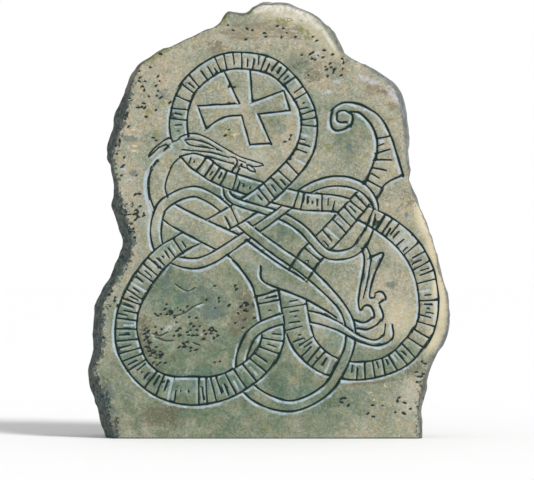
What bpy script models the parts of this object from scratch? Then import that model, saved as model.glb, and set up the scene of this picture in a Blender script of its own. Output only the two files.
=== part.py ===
"""Rune stone: one upright slab of granite, dressed on its front and rough on its sides and back.

The front carries two rune bands and a thin serpent's body, woven together below a ring that
frames a cross, with the serpent's head lying over the ring's foot. They are drawn in the stone
by shallow V-shaped grooves.

Metres, +Z up. The carved front looks along -Y and +X is to its right. The origin is the middle of
the flat base, at ground level, where the stone is cut off flat.

Points on the front are (x, z) in millimetres from the middle of the base, and smooth curves run
through them. A third value on the outline is the width of the broken bevel inside it, and on a
band it is the band's width.
"""
import math

import bmesh
import bpy
import numpy as np
from mathutils import Vector, noise
from mathutils.geometry import delaunay_2d_cdt

MM = 0.001

# ---- driving dimensions -------------------------------------------------------------------------
STONE_HEIGHT = 1.85
STONE_WIDTH = 1.53
FOOT_THICKNESS = 0.42       # front to back at the ground
TOP_THICKNESS = 0.27        # front to back at the top: the back leans in
GROOVE_WIDTH = 0.016        # across the lips of a groove
GROOVE_DEPTH = 0.005        # from the lips to the bottom of the V

# ---- unevenness: height, and how far apart the swells are ---------------------------------------
FRONT_CROWN = 0.012         # how far the middle of the front stands proud of its edges
FRONT_WAVES = ((0.004, 0.33),)
BACK_WAVES = ((0.020, 0.42), (0.010, 0.17))
SIDE_WAVES = ((0.009, 0.13),)
EDGE_WANDER = 0.2           # how far apart the edges' turns towards the front and the back are

# How a section through the side runs from the front to the back: how far along it is between the
# two faces, and how far inside the outline it lies. The front's bevel comes with the outline.
SIDE_SECTION = ((0.17, 0.000), (0.45, 0.006), (0.74, 0.016))
SIDE_WANDER = 0.05          # how far those shares of the depth wander along the outline
BACK_BEVEL = 0.050

# ---- mesh fineness ------------------------------------------------------------------------------
RIM_STEP = 0.034            # along the outline
RIM_ROUNDS = 1              # of smoothing along each line of the sides
INWARD_ROUNDS = 5           # of smoothing of the direction in which the lines are inset
GROOVE_STEP = 0.024         # along a groove
BOTTOM_GAP = 0.005          # least distance between points along the bottoms of grooves
LIP_GAP = 0.0065            # least distance between points on the lips of grooves
FRONT_CELL = 0.070          # plain ground of the front
BACK_CELL = 0.110           # the back
PATH_STEP = 0.003           # while a curve is being drawn

GRANITE_COLOUR = (0.42, 0.36, 0.26, 1.0)
GRANITE_ROUGHNESS = 0.9

# ---- outline, from the left foot over the top to the right foot ---------------------------------
OUTLINE = [
    (-695, 0, 34), (-728, 90, 36), (-758, 190, 38), (-773, 300, 13), (-757, 350, 14),
    (-756, 440, 32), (-758, 510, 30), (-738, 572, 24), (-695, 665, 15), (-655, 760, 36),
    (-634, 830, 44), (-652, 905, 50), (-672, 1000, 50), (-668, 1070, 24), (-700, 1185, 24),
    (-666, 1350, 40), (-610, 1525, 16), (-560, 1592, 10), (-462, 1661, 10), (-300, 1729, 10),
    (-236, 1757, 10), (-178, 1812, 10), (-113, 1808, 10), (-60, 1838, 10), (25, 1853, 10),
    (150, 1820, 10), (192, 1797, 10), (219, 1758, 10), (247, 1748, 10), (283, 1680, 10),
    (345, 1625, 10), (455, 1560, 12), (540, 1490, 14), (570, 1400, 20), (590, 1240, 15),
    (593, 1120, 9), (640, 975, 8), (695, 840, 8), (735, 675, 8), (760, 570, 8), (757, 470, 10),
    (735, 402, 18), (685, 300, 27), (658, 215, 22), (642, 140, 9), (643, 60, 8), (640, 0, 8)]

# ---- bands: middle line and width ---------------------------------------------------------------
RING_BAND = [
    (-390, 1280, 75), (-395, 1335, 75), (-380, 1425, 70), (-335, 1505, 70), (-200, 1595, 70),
    (-35, 1590, 70), (50, 1545, 65), (155, 1385, 65), (140, 1220, 75), (35, 1085, 80),
    (-130, 960, 85), (-380, 825, 75), (-470, 760, 85), (-590, 590, 85), (-615, 495, 90),
    (-605, 385, 100), (-550, 285, 90), (-460, 220, 100), (-345, 200, 120), (-225, 210, 110),
    (-115, 260, 100), (-35, 330, 95), (5, 415, 95), (0, 520, 95), (-25, 645, 100)]
RIGHT_BAND = [
    (-385, 1195, 0), (-335, 1180, 60), (-285, 1155, 75), (-225, 1115, 70), (115, 1010, 75),
    (315, 985, 70), (550, 855, 85), (650, 700, 85), (660, 490, 80), (575, 360, 85),
    (500, 310, 75), (390, 285, 75), (310, 290, 80), (235, 315, 85), (165, 370, 95),
    (125, 435, 105), (85, 650, 105)]
CROSS_BAND = [(400, 1025, 75), (260, 865, 85), (165, 765, 90), (95, 660, 90)]
SERPENT = [
    (-190, 1065, 26), (-185, 1035, 28), (-160, 1010, 28), (50, 940, 32), (130, 890, 34),
    (245, 780, 36), (350, 790, 38), (390, 835, 40), (445, 965, 20), (430, 1015, 30),
    (385, 1065, 36), (300, 1090, 42), (215, 1080, 38), (135, 1040, 38), (55, 970, 34),
    (-160, 820, 40), (-255, 760, 44), (-325, 740, 44), (-415, 760, 38), (-480, 815, 44),
    (-470, 970, 44), (-340, 1045, 44), (-265, 1025, 44), (-80, 875, 42), (40, 785, 44),
    (155, 705, 44), (305, 550, 32), (335, 475, 40), (330, 385, 40), (290, 290, 44),
    (230, 200, 42), (85, 135, 46), (-65, 185, 56), (-120, 255, 48), (-125, 345, 44),
    (-80, 440, 44), (15, 495, 44), (160, 515, 48), (275, 480, 36), (380, 420, 24),
    (455, 405, 26), (495, 430, 40), (500, 485, 28)]
BODY = [(-460, 990, 80), (-425, 955, 85), (-145, 810, 100)]
BANDS = {"ring": RING_BAND, "right": RIGHT_BAND, "cross": CROSS_BAND,
         "serpent": SERPENT, "body": BODY}

# Where one band lies over another: (upper, lower, x, z). Where the serpent crosses itself, the
# part of it that comes later along its length is the upper one.
CROSSINGS = (
    ("ring", "right", -10, 1045), ("serpent", "ring", -80, 990), ("ring", "serpent", -165, 945),
    ("body", "ring", -285, 880), ("ring", "serpent", -460, 790), ("ring", "serpent", -115, 265),
    ("serpent", "ring", 0, 475), ("right", "serpent", 115, 1015),
    ("right", "serpent", -190, 1075), ("cross", "right", 345, 980),
    ("right", "serpent", 430, 930), ("serpent", "right", 285, 300),
    ("right", "serpent", 100, 515), ("serpent", "cross", 405, 1035),
    ("serpent", "cross", 200, 810), ("serpent", "serpent", 20, 960),
    ("serpent", "serpent", -80, 875), ("serpent", "serpent", 335, 450),
    ("serpent", "body", -450, 990), ("serpent", "body", -185, 815))
UNDER_HIP = ("ring", "right", "cross")      # the bands that end under the hip
CROSSING_RUN = 0.160        # how far along each band a crossing reaches, each way
SAME_PASS = 0.250           # two points of a band nearer than this along it are one pass

# ---- the hip, where the body ends in a spiral ---------------------------------------------------
HIP_LEFT = [(-185, 780), (-130, 720), (-80, 645), (-65, 600)]
HIP_END = [(-65, 600), (-20, 610), (35, 630)]
HIP_SPIRAL = [(-45, 730), (-40, 675), (145, 590), (280, 510), (320, 475)]
HIP_RIGHT = [(-105, 840), (35, 740), (145, 670), (210, 620), (250, 582)]
HIP_SPIRAL_OUTSIDE = 2      # the spiral bounds the hip from this point on

# ---- single grooves -----------------------------------------------------------------------------
CROSS = [
    (-200, 1560), (-135, 1420), (-310, 1410), (-275, 1310), (-230, 1345), (-180, 1365),
    (-125, 1370), (-90, 1245), (0, 1250), (-55, 1375), (80, 1390), (55, 1475), (-80, 1425),
    (-90, 1565)]
HEAD = [
    (-420, 1256), (-394, 1266), (-380, 1280), (-316, 1292), (-132, 1196), (-32, 1160),
    (-68, 1152), (-98, 1160)]
LAPPET = [
    (-424, 1276), (-454, 1262), (-508, 1214), (-520, 1192), (-468, 1236), (-440, 1244),
    (-434, 1238), (-452, 1220)]
EYE_TOP = [(-364, 1264), (-338, 1268), (-272, 1252), (-208, 1218)]
EYE_LOW = [(-364, 1264), (-350, 1248), (-240, 1228), (-208, 1218)]
JAW = [(-376, 1224), (-256, 1212), (-180, 1192)]
NECK_OUT = [(-480, 1180), (-515, 1125), (-515, 1030), (-495, 970)]
NECK_IN = [(-380, 1195), (-420, 1155), (-450, 1070), (-440, 1025)]
WING_OUT = [
    (325, 1385), (345, 1370), (330, 1320), (275, 1305), (255, 1325), (260, 1390), (320, 1425),
    (445, 1380), (500, 1300), (560, 1115)]
WING_IN = [
    (320, 1340), (295, 1340), (280, 1350), (280, 1375), (300, 1390), (340, 1385), (375, 1380),
    (430, 1320), (450, 1235), (420, 1135), (395, 1085)]
WING_END = [(560, 1115), (490, 1080), (450, 1020)]
LEG_LEFT = [
    (385, 805), (395, 760), (370, 580), (380, 540), (400, 560), (420, 560), (435, 535),
    (435, 515), (400, 490), (355, 500)]
LEG_RIGHT = [
    (425, 765), (475, 785), (445, 715), (425, 655), (420, 595), (435, 595), (445, 615),
    (470, 620), (485, 595), (460, 565), (470, 540), (475, 515), (450, 480), (410, 460),
    (370, 465)]
LINES = (HIP_LEFT, HIP_END, HIP_SPIRAL, HIP_RIGHT, HEAD, LAPPET, EYE_TOP, EYE_LOW, JAW,
         NECK_OUT, NECK_IN, WING_OUT, WING_IN, WING_END, LEG_LEFT, LEG_RIGHT)


def metres(points):
    """A list of millimetre points as metres."""
    return [tuple(value * MM for value in point) for point in points]


def spline(points, step):
    """A smooth curve through the points (centripetal Catmull-Rom), with a point about every step.

    Every value of a point is carried along, so a width runs smoothly too.
    """
    first, last = np.array(points[0]), np.array(points[-1])
    knots = [2 * first - np.array(points[1])] + [np.array(p) for p in points]
    knots.append(2 * last - np.array(points[-2]))
    curve = []
    for p0, p1, p2, p3 in zip(knots, knots[1:], knots[2:], knots[3:]):
        gaps = [math.sqrt(np.linalg.norm((b - a)[:2])) for a, b in ((p0, p1), (p1, p2), (p2, p3))]
        start = (p1 - p0) / gaps[0] - (p2 - p0) / (gaps[0] + gaps[1]) + (p2 - p1) / gaps[1]
        end = (p2 - p1) / gaps[1] - (p3 - p1) / (gaps[1] + gaps[2]) + (p3 - p2) / gaps[2]
        count = max(1, round(np.linalg.norm((p2 - p1)[:2]) / step))
        for i in range(count):
            t = i / count
            curve.append((2 * t**3 - 3 * t**2 + 1) * p1 + (t**3 - 2 * t**2 + t) * gaps[1] * start
                         + (3 * t**2 - 2 * t**3) * p2 + (t**3 - t**2) * gaps[1] * end)
    curve.append(last)
    return np.array(curve)


def drawn(points):
    """A smooth curve, finely stepped, through millimetre points."""
    return spline(metres(points), PATH_STEP)


def lengths_along(curve):
    """The distance of each point from the curve's start."""
    steps = np.linalg.norm(np.diff(curve[:, :2], axis=0), axis=1)
    return np.concatenate(([0.0], np.cumsum(steps)))


def resample(curve, step):
    """Points at equal distances along a curve, its two ends included."""
    along = lengths_along(curve)
    count = max(1, round(along[-1] / step))
    places = np.linspace(0.0, along[-1], count + 1)
    return np.stack([np.interp(places, along, column) for column in curve.T], axis=1)


def normals(curve):
    """Unit normals to the left of a curve's direction."""
    tangent = np.gradient(curve[:, :2], axis=0)
    tangent /= np.linalg.norm(tangent, axis=1)[:, None]
    return np.stack([-tangent[:, 1], tangent[:, 0]], axis=1)


def smoothed(points, rounds):
    """A line of points, each drawn towards its neighbours; the ends stay."""
    points = points.copy()
    for _ in range(rounds):
        points[1:-1] = (points[:-2] + 2 * points[1:-1] + points[2:]) / 4
    return points


def inside(polygon, points):
    """Which points lie inside a closed polygon."""
    result = np.zeros(len(points), dtype=bool)
    x, z = points[:, 0], points[:, 1]
    for (x1, z1), (x2, z2) in zip(polygon, np.roll(polygon, -1, axis=0)):
        if z1 != z2:
            spans = (z1 > z) != (z2 > z)
            result ^= spans & (x < (x2 - x1) * (z - z1) / (z2 - z1) + x1)
    return result


def distance_to(points, targets, chunk=400):
    """The distance from each point to the nearest target, worked out a chunk at a time."""
    result = np.empty(len(points))
    for start in range(0, len(points), chunk):
        part = points[start:start + chunk]
        gaps = np.linalg.norm(part[:, None, :] - targets[None, :, :], axis=2)
        result[start:start + chunk] = gaps.min(axis=1)
    return result


# ---- the drawing --------------------------------------------------------------------------------
def hip_polygon():
    """The hip's outline, which hides the bands that end under it."""
    return np.concatenate([drawn(HIP_LEFT), drawn(HIP_END),
                           drawn(HIP_SPIRAL[HIP_SPIRAL_OUTSIDE:]), drawn(HIP_RIGHT)[::-1]])


def passes(curve, place, count):
    """How far along a curve it passes a place, for its nearest passes, the latest first."""
    along = lengths_along(curve)
    distance = np.linalg.norm(curve[:, :2] - place, axis=1)
    found = []
    for _ in range(count):
        found.append(along[np.argmin(distance)])
        distance = np.where(np.abs(along - found[-1]) < SAME_PASS, np.inf, distance)
    return sorted(found, reverse=True)


def hidden_edge(name, edge, curves):
    """Which points of a band's edge are hidden by what lies over it."""
    along = lengths_along(curves[name])
    hidden = np.zeros(len(edge), dtype=bool)
    if name in UNDER_HIP:
        hidden |= inside(hip_polygon(), edge)
    for upper, lower, x, z in CROSSINGS:
        if lower != name:
            continue
        place = np.array((x, z)) * MM
        over = curves[upper]
        if upper == lower:
            above, below = passes(over, place, 2)
        else:
            above, = passes(over, place, 1)
            below, = passes(curves[lower], place, 1)
        run = over[np.abs(lengths_along(over) - above) < CROSSING_RUN]
        distance = np.linalg.norm(edge[:, None, :] - run[None, :, :2], axis=2)
        nearest = np.argmin(distance, axis=1)
        covered = distance[np.arange(len(edge)), nearest] < run[nearest, 2] / 2
        hidden |= covered & (np.abs(along - below) < CROSSING_RUN)
    return hidden


def visible_runs(edge, hidden):
    """The parts of an edge that show, each as its own line."""
    ends = np.flatnonzero(np.diff(np.concatenate(([True], hidden, [True]))))
    return [edge[start:end] for start, end in zip(ends[::2], ends[1::2]) if end - start > 1]


def groove_lines():
    """Every groove of the drawing as a line of points on the front."""
    curves = {name: drawn(points) for name, points in BANDS.items()}
    lines = []
    for name, curve in curves.items():
        for side in (1, -1):
            edge = curve[:, :2] + side * normals(curve) * curve[:, 2:] / 2
            lines += visible_runs(edge, hidden_edge(name, edge, curves))
    lines += [drawn(points) for points in LINES]
    corners = metres(CROSS + CROSS[:1])
    lines += [resample(np.array(pair), PATH_STEP) for pair in zip(corners, corners[1:])]
    return lines


# ---- the surfaces -------------------------------------------------------------------------------
def swells(x, z, waves, seed):
    """Natural unevenness: soft noise in waves of a height and a distance."""
    return sum(height * noise.noise(Vector((x / apart, z / apart, seed)))
               for height, apart in waves)


def front_y(x, z):
    """The dressed front without its grooves."""
    across = 2 * x / STONE_WIDTH
    up = 2 * z / STONE_HEIGHT - 1
    crown = FRONT_CROWN * (1 - across**2) * (1 - up**2 / 2)
    return -FOOT_THICKNESS / 2 - crown + swells(x, z, FRONT_WAVES, 3.7)


def back_y(x, z):
    """The rough back, which leans in towards the top."""
    thickness = FOOT_THICKNESS + (TOP_THICKNESS - FOOT_THICKNESS) * z / STONE_HEIGHT
    return -FOOT_THICKNESS / 2 + thickness + swells(x, z, BACK_WAVES, 9.1)


def rim_loops():
    """Lines up one side, over the top and down the other, one behind another."""
    outline = resample(drawn(OUTLINE), RIM_STEP)
    inward = smoothed(-normals(outline), INWARD_ROUNDS)
    inward[[0, -1], 1] = 0.0

    def along_outline(height, apart, seed):
        return np.array([swells(x, z, ((height, apart),), seed) for x, z, _ in outline])

    def loop(insets, depths):
        flat = smoothed(outline[:, :2] + inward * insets[:, None], RIM_ROUNDS)
        return [Vector((x, (1 - depth) * front_y(x, z) + depth * back_y(x, z), z))
                for (x, z), depth in zip(flat, depths)]

    loops = [loop(outline[:, 2], np.zeros(len(outline)))]
    for number, (share, inset) in enumerate(SIDE_SECTION):
        rough = sum(along_outline(height, apart, 20.0 + number) for height, apart in SIDE_WAVES)
        insets = inset + rough * (number > 0)       # the first of them is the outline itself
        loops.append(loop(insets, share + along_outline(SIDE_WANDER, EDGE_WANDER, 30.0 + number)))
    insets = BACK_BEVEL + along_outline(BACK_BEVEL / 2, EDGE_WANDER, 40.0)
    loops.append(loop(insets, np.ones(len(outline))))
    return loops


# ---- where the mesh has its points --------------------------------------------------------------
def hexagonal(shape, cell):
    """A field of points over a shape, in rows that are each shifted by half a cell."""
    low, high = shape.min(axis=0), shape.max(axis=0)
    points = []
    for row in range(math.ceil((high[1] - low[1]) / (cell * math.sqrt(3) / 2))):
        z = low[1] + row * cell * math.sqrt(3) / 2
        xs = np.arange(low[0] + (row % 2) * cell / 2, high[0], cell)
        points += [(x, z) for x in xs]
    return np.array(points)


def spaced(candidates, taken, gap):
    """The candidates that keep a gap from the points taken and from each other."""
    cells = {}
    chosen = []

    def cell_of(point):
        return int(point[0] // gap), int(point[1] // gap)

    def neighbours(point):
        column, row = cell_of(point)
        return [q for i in (-1, 0, 1) for j in (-1, 0, 1)
                for q in cells.get((column + i, row + j), ())]

    for point in taken:
        cells.setdefault(cell_of(point), []).append(point)
    for point in map(tuple, candidates):
        if all(math.dist(point, other) >= gap for other in neighbours(point)):
            cells.setdefault(cell_of(point), []).append(point)
            chosen.append(point)
    return chosen


def end_lips(run, reach):
    """A point just beyond each end of a groove, where it has run out."""
    first, last = run[0] - run[1], run[-1] - run[-2]
    return [run[0] + reach * first / np.linalg.norm(first),
            run[-1] + reach * last / np.linalg.norm(last)]


def border_line(border):
    """A closed border as a fine line of points."""
    closed = np.array(border + border[:1])
    return np.concatenate([resample(np.array(pair), PATH_STEP)
                           for pair in zip(closed, closed[1:])])


def clear_of(border, points, gap):
    """The points inside a border that keep a gap from it."""
    points = points[inside(np.array(border), points)]
    return points[distance_to(points, border_line(border)) > gap]


def front_points(border, lines):
    """Points on the front: along the grooves and their lips, and a coarse field between them."""
    runs = [resample(line, GROOVE_STEP) for line in lines]
    half = GROOVE_WIDTH / 2
    lips = [run + side * half * normals(run) for run in runs for side in (1, -1)]
    lips += [end_lips(run, half) for run in runs]
    field = hexagonal(np.array(border), FRONT_CELL)
    chosen = spaced(clear_of(border, np.concatenate(runs), BOTTOM_GAP), border, BOTTOM_GAP)
    chosen += spaced(clear_of(border, np.concatenate(lips), LIP_GAP), border + chosen, LIP_GAP)
    chosen += spaced(clear_of(border, field, half), border + chosen, FRONT_CELL / 2.2)
    return chosen


def groove_depths(points, lines):
    """How deep the carving is at each point."""
    away = distance_to(np.array(points), np.concatenate(lines))
    return np.maximum(0.0, GROOVE_DEPTH * (1 - away / (GROOVE_WIDTH / 2)))


# ---- the mesh -----------------------------------------------------------------------------------
def fill(mesh, border, flat_border, inner=(), flat_inner=()):
    """Triangles between a border's corners and inner ones, laid out by their flat positions."""
    corners = list(border) + list(inner)
    points = [Vector(p) for p in list(flat_border) + list(flat_inner)]
    edges = [(i, (i + 1) % len(border)) for i in range(len(border))]
    verts, _, faces, *_ = delaunay_2d_cdt(points, edges, [], 1, 1e-6)
    if len(verts) != len(corners):
        raise ValueError("a border crosses itself")
    for face in faces:
        mesh.faces.new([corners[i] for i in face])


def ground_line(mesh, left, right, y_of):
    """Corners along the ground between two others."""
    count = round((right.co.x - left.co.x) / FRONT_CELL)
    xs = np.linspace(left.co.x, right.co.x, count + 1)[1:-1]
    return [mesh.verts.new((x, y_of(x, 0.0), 0.0)) for x in xs]


def add_sides(mesh, loops):
    """The broken sides, from the front's rim to the back's."""
    for front, back in zip(loops, loops[1:]):
        for a, b, c, d in zip(front, front[1:], back[1:], back):
            mesh.faces.new((a, b, c))
            mesh.faces.new((a, c, d))


def add_front(mesh, border):
    """The dressed front with its grooves."""
    flat = [(v.co.x, v.co.z) for v in border]
    lines = groove_lines()
    places = front_points(flat, lines)
    depths = groove_depths(places, lines)
    inner = [mesh.verts.new((x, front_y(x, z) + depth, z))
             for (x, z), depth in zip(places, depths)]
    fill(mesh, border, flat, inner, places)


def add_back(mesh, border):
    """The rough back."""
    flat = [(v.co.x, v.co.z) for v in border]
    field = clear_of(flat, hexagonal(np.array(flat), BACK_CELL), BACK_CELL / 2.5)
    places = spaced(field, flat, BACK_CELL / 2)
    inner = [mesh.verts.new((x, back_y(x, z), z)) for x, z in places]
    fill(mesh, border, flat, inner, places)


def stone_mesh():
    """The whole slab as one closed mesh."""
    mesh = bmesh.new()
    loops = [[mesh.verts.new(p) for p in loop] for loop in rim_loops()]
    front_rim, back_rim = loops[0], loops[-1]
    front_ground = ground_line(mesh, front_rim[0], front_rim[-1], front_y)
    back_ground = ground_line(mesh, back_rim[0], back_rim[-1], back_y)
    add_sides(mesh, loops)
    add_front(mesh, front_rim[::-1] + front_ground)
    add_back(mesh, back_rim[::-1] + back_ground)

    right_foot = [loop[-1] for loop in loops]
    left_foot = [loop[0] for loop in loops[1:]]
    base = front_rim[:1] + front_ground + right_foot + back_ground[::-1] + left_foot[::-1]
    fill(mesh, base, [(v.co.x, v.co.y) for v in base])

    bmesh.ops.recalc_face_normals(mesh, faces=mesh.faces)
    return mesh


def centre_on_base(mesh):
    """Put the middle of the stone's box over the origin."""
    for axis in (0, 1):
        values = [v.co[axis] for v in mesh.verts]
        middle = (min(values) + max(values)) / 2
        for v in mesh.verts:
            v.co[axis] -= middle


def granite():
    """Weathered grey-beige granite."""
    material = bpy.data.materials.new("granite")
    material.use_nodes = True
    shader = material.node_tree.nodes["Principled BSDF"]
    shader.inputs["Base Color"].default_value = GRANITE_COLOUR
    shader.inputs["Roughness"].default_value = GRANITE_ROUGHNESS
    shader.inputs["Metallic"].default_value = 0.0
    return material


def build():
    for item in list(bpy.data.objects):
        bpy.data.objects.remove(item, do_unlink=True)
    mesh = stone_mesh()
    centre_on_base(mesh)
    data = bpy.data.meshes.new("rune_stone")
    mesh.to_mesh(data)
    mesh.free()
    data.materials.append(granite())
    stone = bpy.data.objects.new("rune_stone", data)
    bpy.context.scene.collection.objects.link(stone)


build()
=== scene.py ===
"""The looks of the rune stone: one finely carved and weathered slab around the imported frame.

The stone is one piece, rune_stone_carved, which stands for the CAD node rune_stone. It is drawn
in the CAD's own frame: metres, +Z up, its carved front looking along -Y, +X to the front's right.

Points on the front are (x, z) in millimetres from the middle of the base, and smooth curves run
through them. A third value on the outline is the width of the broken bevel inside it, and on a
band it is the band's width.
"""
import math
import random

import bmesh
import bpy
import numpy as np
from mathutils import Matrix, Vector, noise
from mathutils.geometry import delaunay_2d_cdt
from mathutils.kdtree import KDTree

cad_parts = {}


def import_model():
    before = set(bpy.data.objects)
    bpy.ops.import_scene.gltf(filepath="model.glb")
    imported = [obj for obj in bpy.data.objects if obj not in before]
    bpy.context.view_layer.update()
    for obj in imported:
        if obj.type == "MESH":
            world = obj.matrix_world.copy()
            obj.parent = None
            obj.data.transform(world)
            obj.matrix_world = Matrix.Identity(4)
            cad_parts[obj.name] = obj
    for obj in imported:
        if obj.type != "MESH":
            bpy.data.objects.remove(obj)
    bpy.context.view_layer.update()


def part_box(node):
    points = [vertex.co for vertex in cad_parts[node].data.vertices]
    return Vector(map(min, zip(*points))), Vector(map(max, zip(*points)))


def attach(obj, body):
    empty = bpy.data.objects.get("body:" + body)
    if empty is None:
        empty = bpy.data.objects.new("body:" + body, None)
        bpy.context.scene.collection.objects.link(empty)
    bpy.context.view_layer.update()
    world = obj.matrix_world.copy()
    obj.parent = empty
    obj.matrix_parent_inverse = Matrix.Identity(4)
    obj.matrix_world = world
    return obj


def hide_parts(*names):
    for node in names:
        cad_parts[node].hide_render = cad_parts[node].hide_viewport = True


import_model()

MM = 0.001
SEED = 1043

# ---- the stone's shape, as in the CAD model -----------------------------------------------------
LOW, HIGH = (np.array(corner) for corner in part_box("rune_stone"))
STONE_HEIGHT = 1.85
STONE_WIDTH = 1.53
FOOT_THICKNESS = 0.42       # front to back at the ground
TOP_THICKNESS = 0.27        # front to back at the top: the back leans in
FRONT_CROWN = 0.012         # how far the middle of the front stands proud of its edges
CAD_FRONT = ((0.004, 0.33),)
CAD_BACK = ((0.020, 0.42), (0.010, 0.17))
CAD_SIDES = ((0.009, 0.13),)
SIDE_SECTION = ((0.17, 0.000), (0.45, 0.006), (0.74, 0.016))   # share of the way back, and inset
SIDE_WANDER = 0.05          # how far that share differs, and over what length
EDGE_WANDER = 0.2
BACK_BEVEL = 0.050
FRONT_SEED = 3.7            # each of these picks another piece of the same noise
BACK_SEED = 9.1
SIDE_SEEDS = (20.0, 30.0, 40.0)

# ---- unevenness: (height, how far apart the swells are) -----------------------------------------
FRONT_WAVES = (*CAD_FRONT, (0.0018, 0.085), (0.0011, 0.031), (0.0005, 0.013))
BACK_WAVES = (*CAD_BACK, (0.007, 0.075), (0.004, 0.035))
SIDE_WAVES = ((0.009, 0.13), (0.007, 0.055), (0.006, 0.026))
SIDE_OFFSET = (7, 3, 5)     # where in the noise these begin
WEST_ROUGHER = 0.8          # how much rougher the left side is
SIDE_FULLER = 0.009         # what the flakes and ridges take off the sides again
FULLER_ROWS = ((0, 4, 10, 20, 26), (0.0, 0.4, 1.0, 1.0, 0.0))   # rows, and its share there
RIDGE_DEPTH = 0.010         # sharp creases, this far apart
RIDGE_SIZE = 0.09
RIDGE_SHARP = 0.5
ROUGHER_FACING = (0.3, 0.8)     # how far to the left a place looks before it is rougher
ROUGHER_BEHIND = (0.5, 0.9)     # from the front backwards: where that gives out
SCARS = 300                 # flat places where flakes came off the sides
SCAR_SPREAD = 0.45          # of the way backwards: most lie near the front
SCAR_ROW = 2                # the first row whose facing one can have: the rim's own is no guide
SCAR_MARGIN = 3             # columns at the ground in which none has its middle
SCAR_TILT = 0.22
SCAR_EDGE = 0.7             # of its reach: from here on a scar's flat gives out
SCAR_REACH = (0.035, 0.110)
SCAR_BITE = 0.13
SCAR_GROWTH = 0.6           # how much wider they are where the sides are rougher
LEDGES = ((0.020, 0.46, 61.0), (0.012, 0.21, 67.0), (0.007, 0.10, 71.0))    # steps in the back
LEDGE_EDGE = 0.03           # half the noise over which a step falls: less is sharper
CALM_ROWS = (0, 4, 8, 12, 18, 26)       # the front's rim is less broken than the sides behind it
CALM_SHARES = (0.20, 0.35, 0.20, 0.5, 1.0, 0.55)    # of the full unevenness, at those rows
FLAKE_DEPTH = 0.0015        # thin skins of stone that have come off the front
FLAKE_SIZE = 0.16
FLAKE_SEED = 51.0
FLAKE_FROM = (0.16, 0.20)   # the noise in which they begin and are full

# ---- mesh fineness ------------------------------------------------------------------------------
PATH_STEP = 0.002           # while a curve is being drawn
RIM_STEP = 0.0112           # along the outline
RIM_ROUNDS = 4              # of smoothing along each line of the sides
INWARD_ROUNDS = 48          # and of the directions in which they are inset
ROWS_PER_STRIP = (8, 6, 7, 5)   # from the front's rim to each line of the sides in turn
GROOVE_STEP = 0.0062        # along a cut
CELL = 0.0078               # plain ground of the front
FIELD_GAP = 0.72            # of a cell: the least room that a point of the plain ground needs
BACK_CELL = 0.015
BACK_RIM_GAP = 0.4          # of a cell, between the back's rim and its other points
BORDER_GAP = 0.003          # between the front's rim and its other points
SAME_POINT = 1e-6           # nearer than this, two points are one
CUT_POINTS = ((0.0, 0.55), (0.5, 0.34), (1.0, 0.42))    # across a cut, and their least spacing

# ---- the cuts: half width, depth, how dark their painted shade, how pale their painted highlight, and how far the shade spreads over ------
LINE_CUT = (0.0077, 0.0058, 1.0, 1.0, 0.0)
BOLD_CUT = (0.0087, 0.0064, 1.0, 1.0, 0.0)      # the wing, the claw and the hip
FINE_CUT = (0.0062, 0.0046, 1.0, 0.7, 0.0)      # the head
STROKE_CUT = (0.0064, 0.0046, 1.0, 0.4, 0.1)    # the inscription's strokes
WORN_CUT = (0.0056, 0.0026, 0.0, 0.9, -1.2)     # those that are nearly gone: a painted highlight, and no painted shade
HIGHLIGHT_CUT = (0.0080, 0.0014, 0.0, 1.0, -1.2)     # a wide painted highlight beside the neck
# cracks and pits have painted shade in them; in a pit it spreads right across
CRACK_CUT = (0.0056, 0.0038, 0.7, 0.3, 0.3)
PIT_CUT = (0.0060, 0.0044, 0.93, 0.15, 1.0)
PIT_LEAN = (22.0, 25.0)     # in degrees, and how much that differs
PIT_REACH = (0.0006, 0.0048)    # half the length of its middle line
PIT_APART = 0.0125
PIT_GATHER = 1.8            # how much closer to a patch's middle they gather
PIT_STAIN = (0.000, 0.016)  # how far the brown round a pit reaches, at its strongest and its end
PIT_BROWN = 0.6
LINE_WANDER = 0.45          # how much a cut's width changes along it, and over what length
LINE_WAVE = 0.045
DOUBLE_GAP = 0.0120         # cuts nearer than this and more nearly parallel than this are one
DOUBLE_TURN = 0.95
CUT_REACH = 1.7             # how far its paint reaches from a cut, against half the cut's width
CUT_LIMIT = 2.0             # past this many half widths a cut does nothing
DARK_FROM = 0.44            # the nearness from which a cut is dark
LIGHT_FROM = (0.52, 0.854)     # where the light comes from, seen from the front: a cut's flank on this side is painted shade, the other a painted highlight
LIGHT_LEAN = 2.5          # how soon a cut that turns away from it has one dark and one pale flank

# ---- the rows of strokes ------------------------------------------------------------------------
STROKE_BANDS = ("ring", "right", "cross")
STROKE_START = 0.025        # from the ends of a band
STROKE_STEPS = (0.027, 0.052)
STROKE_KINDS = ((-0.92, 0.92), (-0.92, 0.35), (-0.35, 0.92), (-0.05, 0.05))    # from and to, of
STROKE_SHARES = (16, 2, 2, 1)                       # the band's half width, and how many are so
STROKE_LEAN = 0.005
STROKE_MARGIN = 0.006       # between a stroke and a band over its own
STROKE_CLEAR = 0.011        # a stroke's middle keeps this far from the drawing's lines
TICK_ROOM = 0.033           # between two strokes, for a short one
TICK_CHANCE = 0.75
TICK_LOW = (-0.80, -0.10)
TICK_LENGTH = (0.50, 0.95)
TICK_LEAN = 0.004
WORN_SHARE = 0.10           # of the strokes: worn shallow, with no painted shade in them

# ---- where each part of the surface lies in the bake --------------------------------------------
FRONT_ROOM = ((0.005, 0.13), (0.72, 0.995))
SIDES_ROOM = ((0.005, 0.005), (0.995, 0.12))
BACK_ROOM = ((0.73, 0.25), (0.995, 0.995))
BASE_ROOM = ((0.73, 0.13), (0.995, 0.24))

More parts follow.
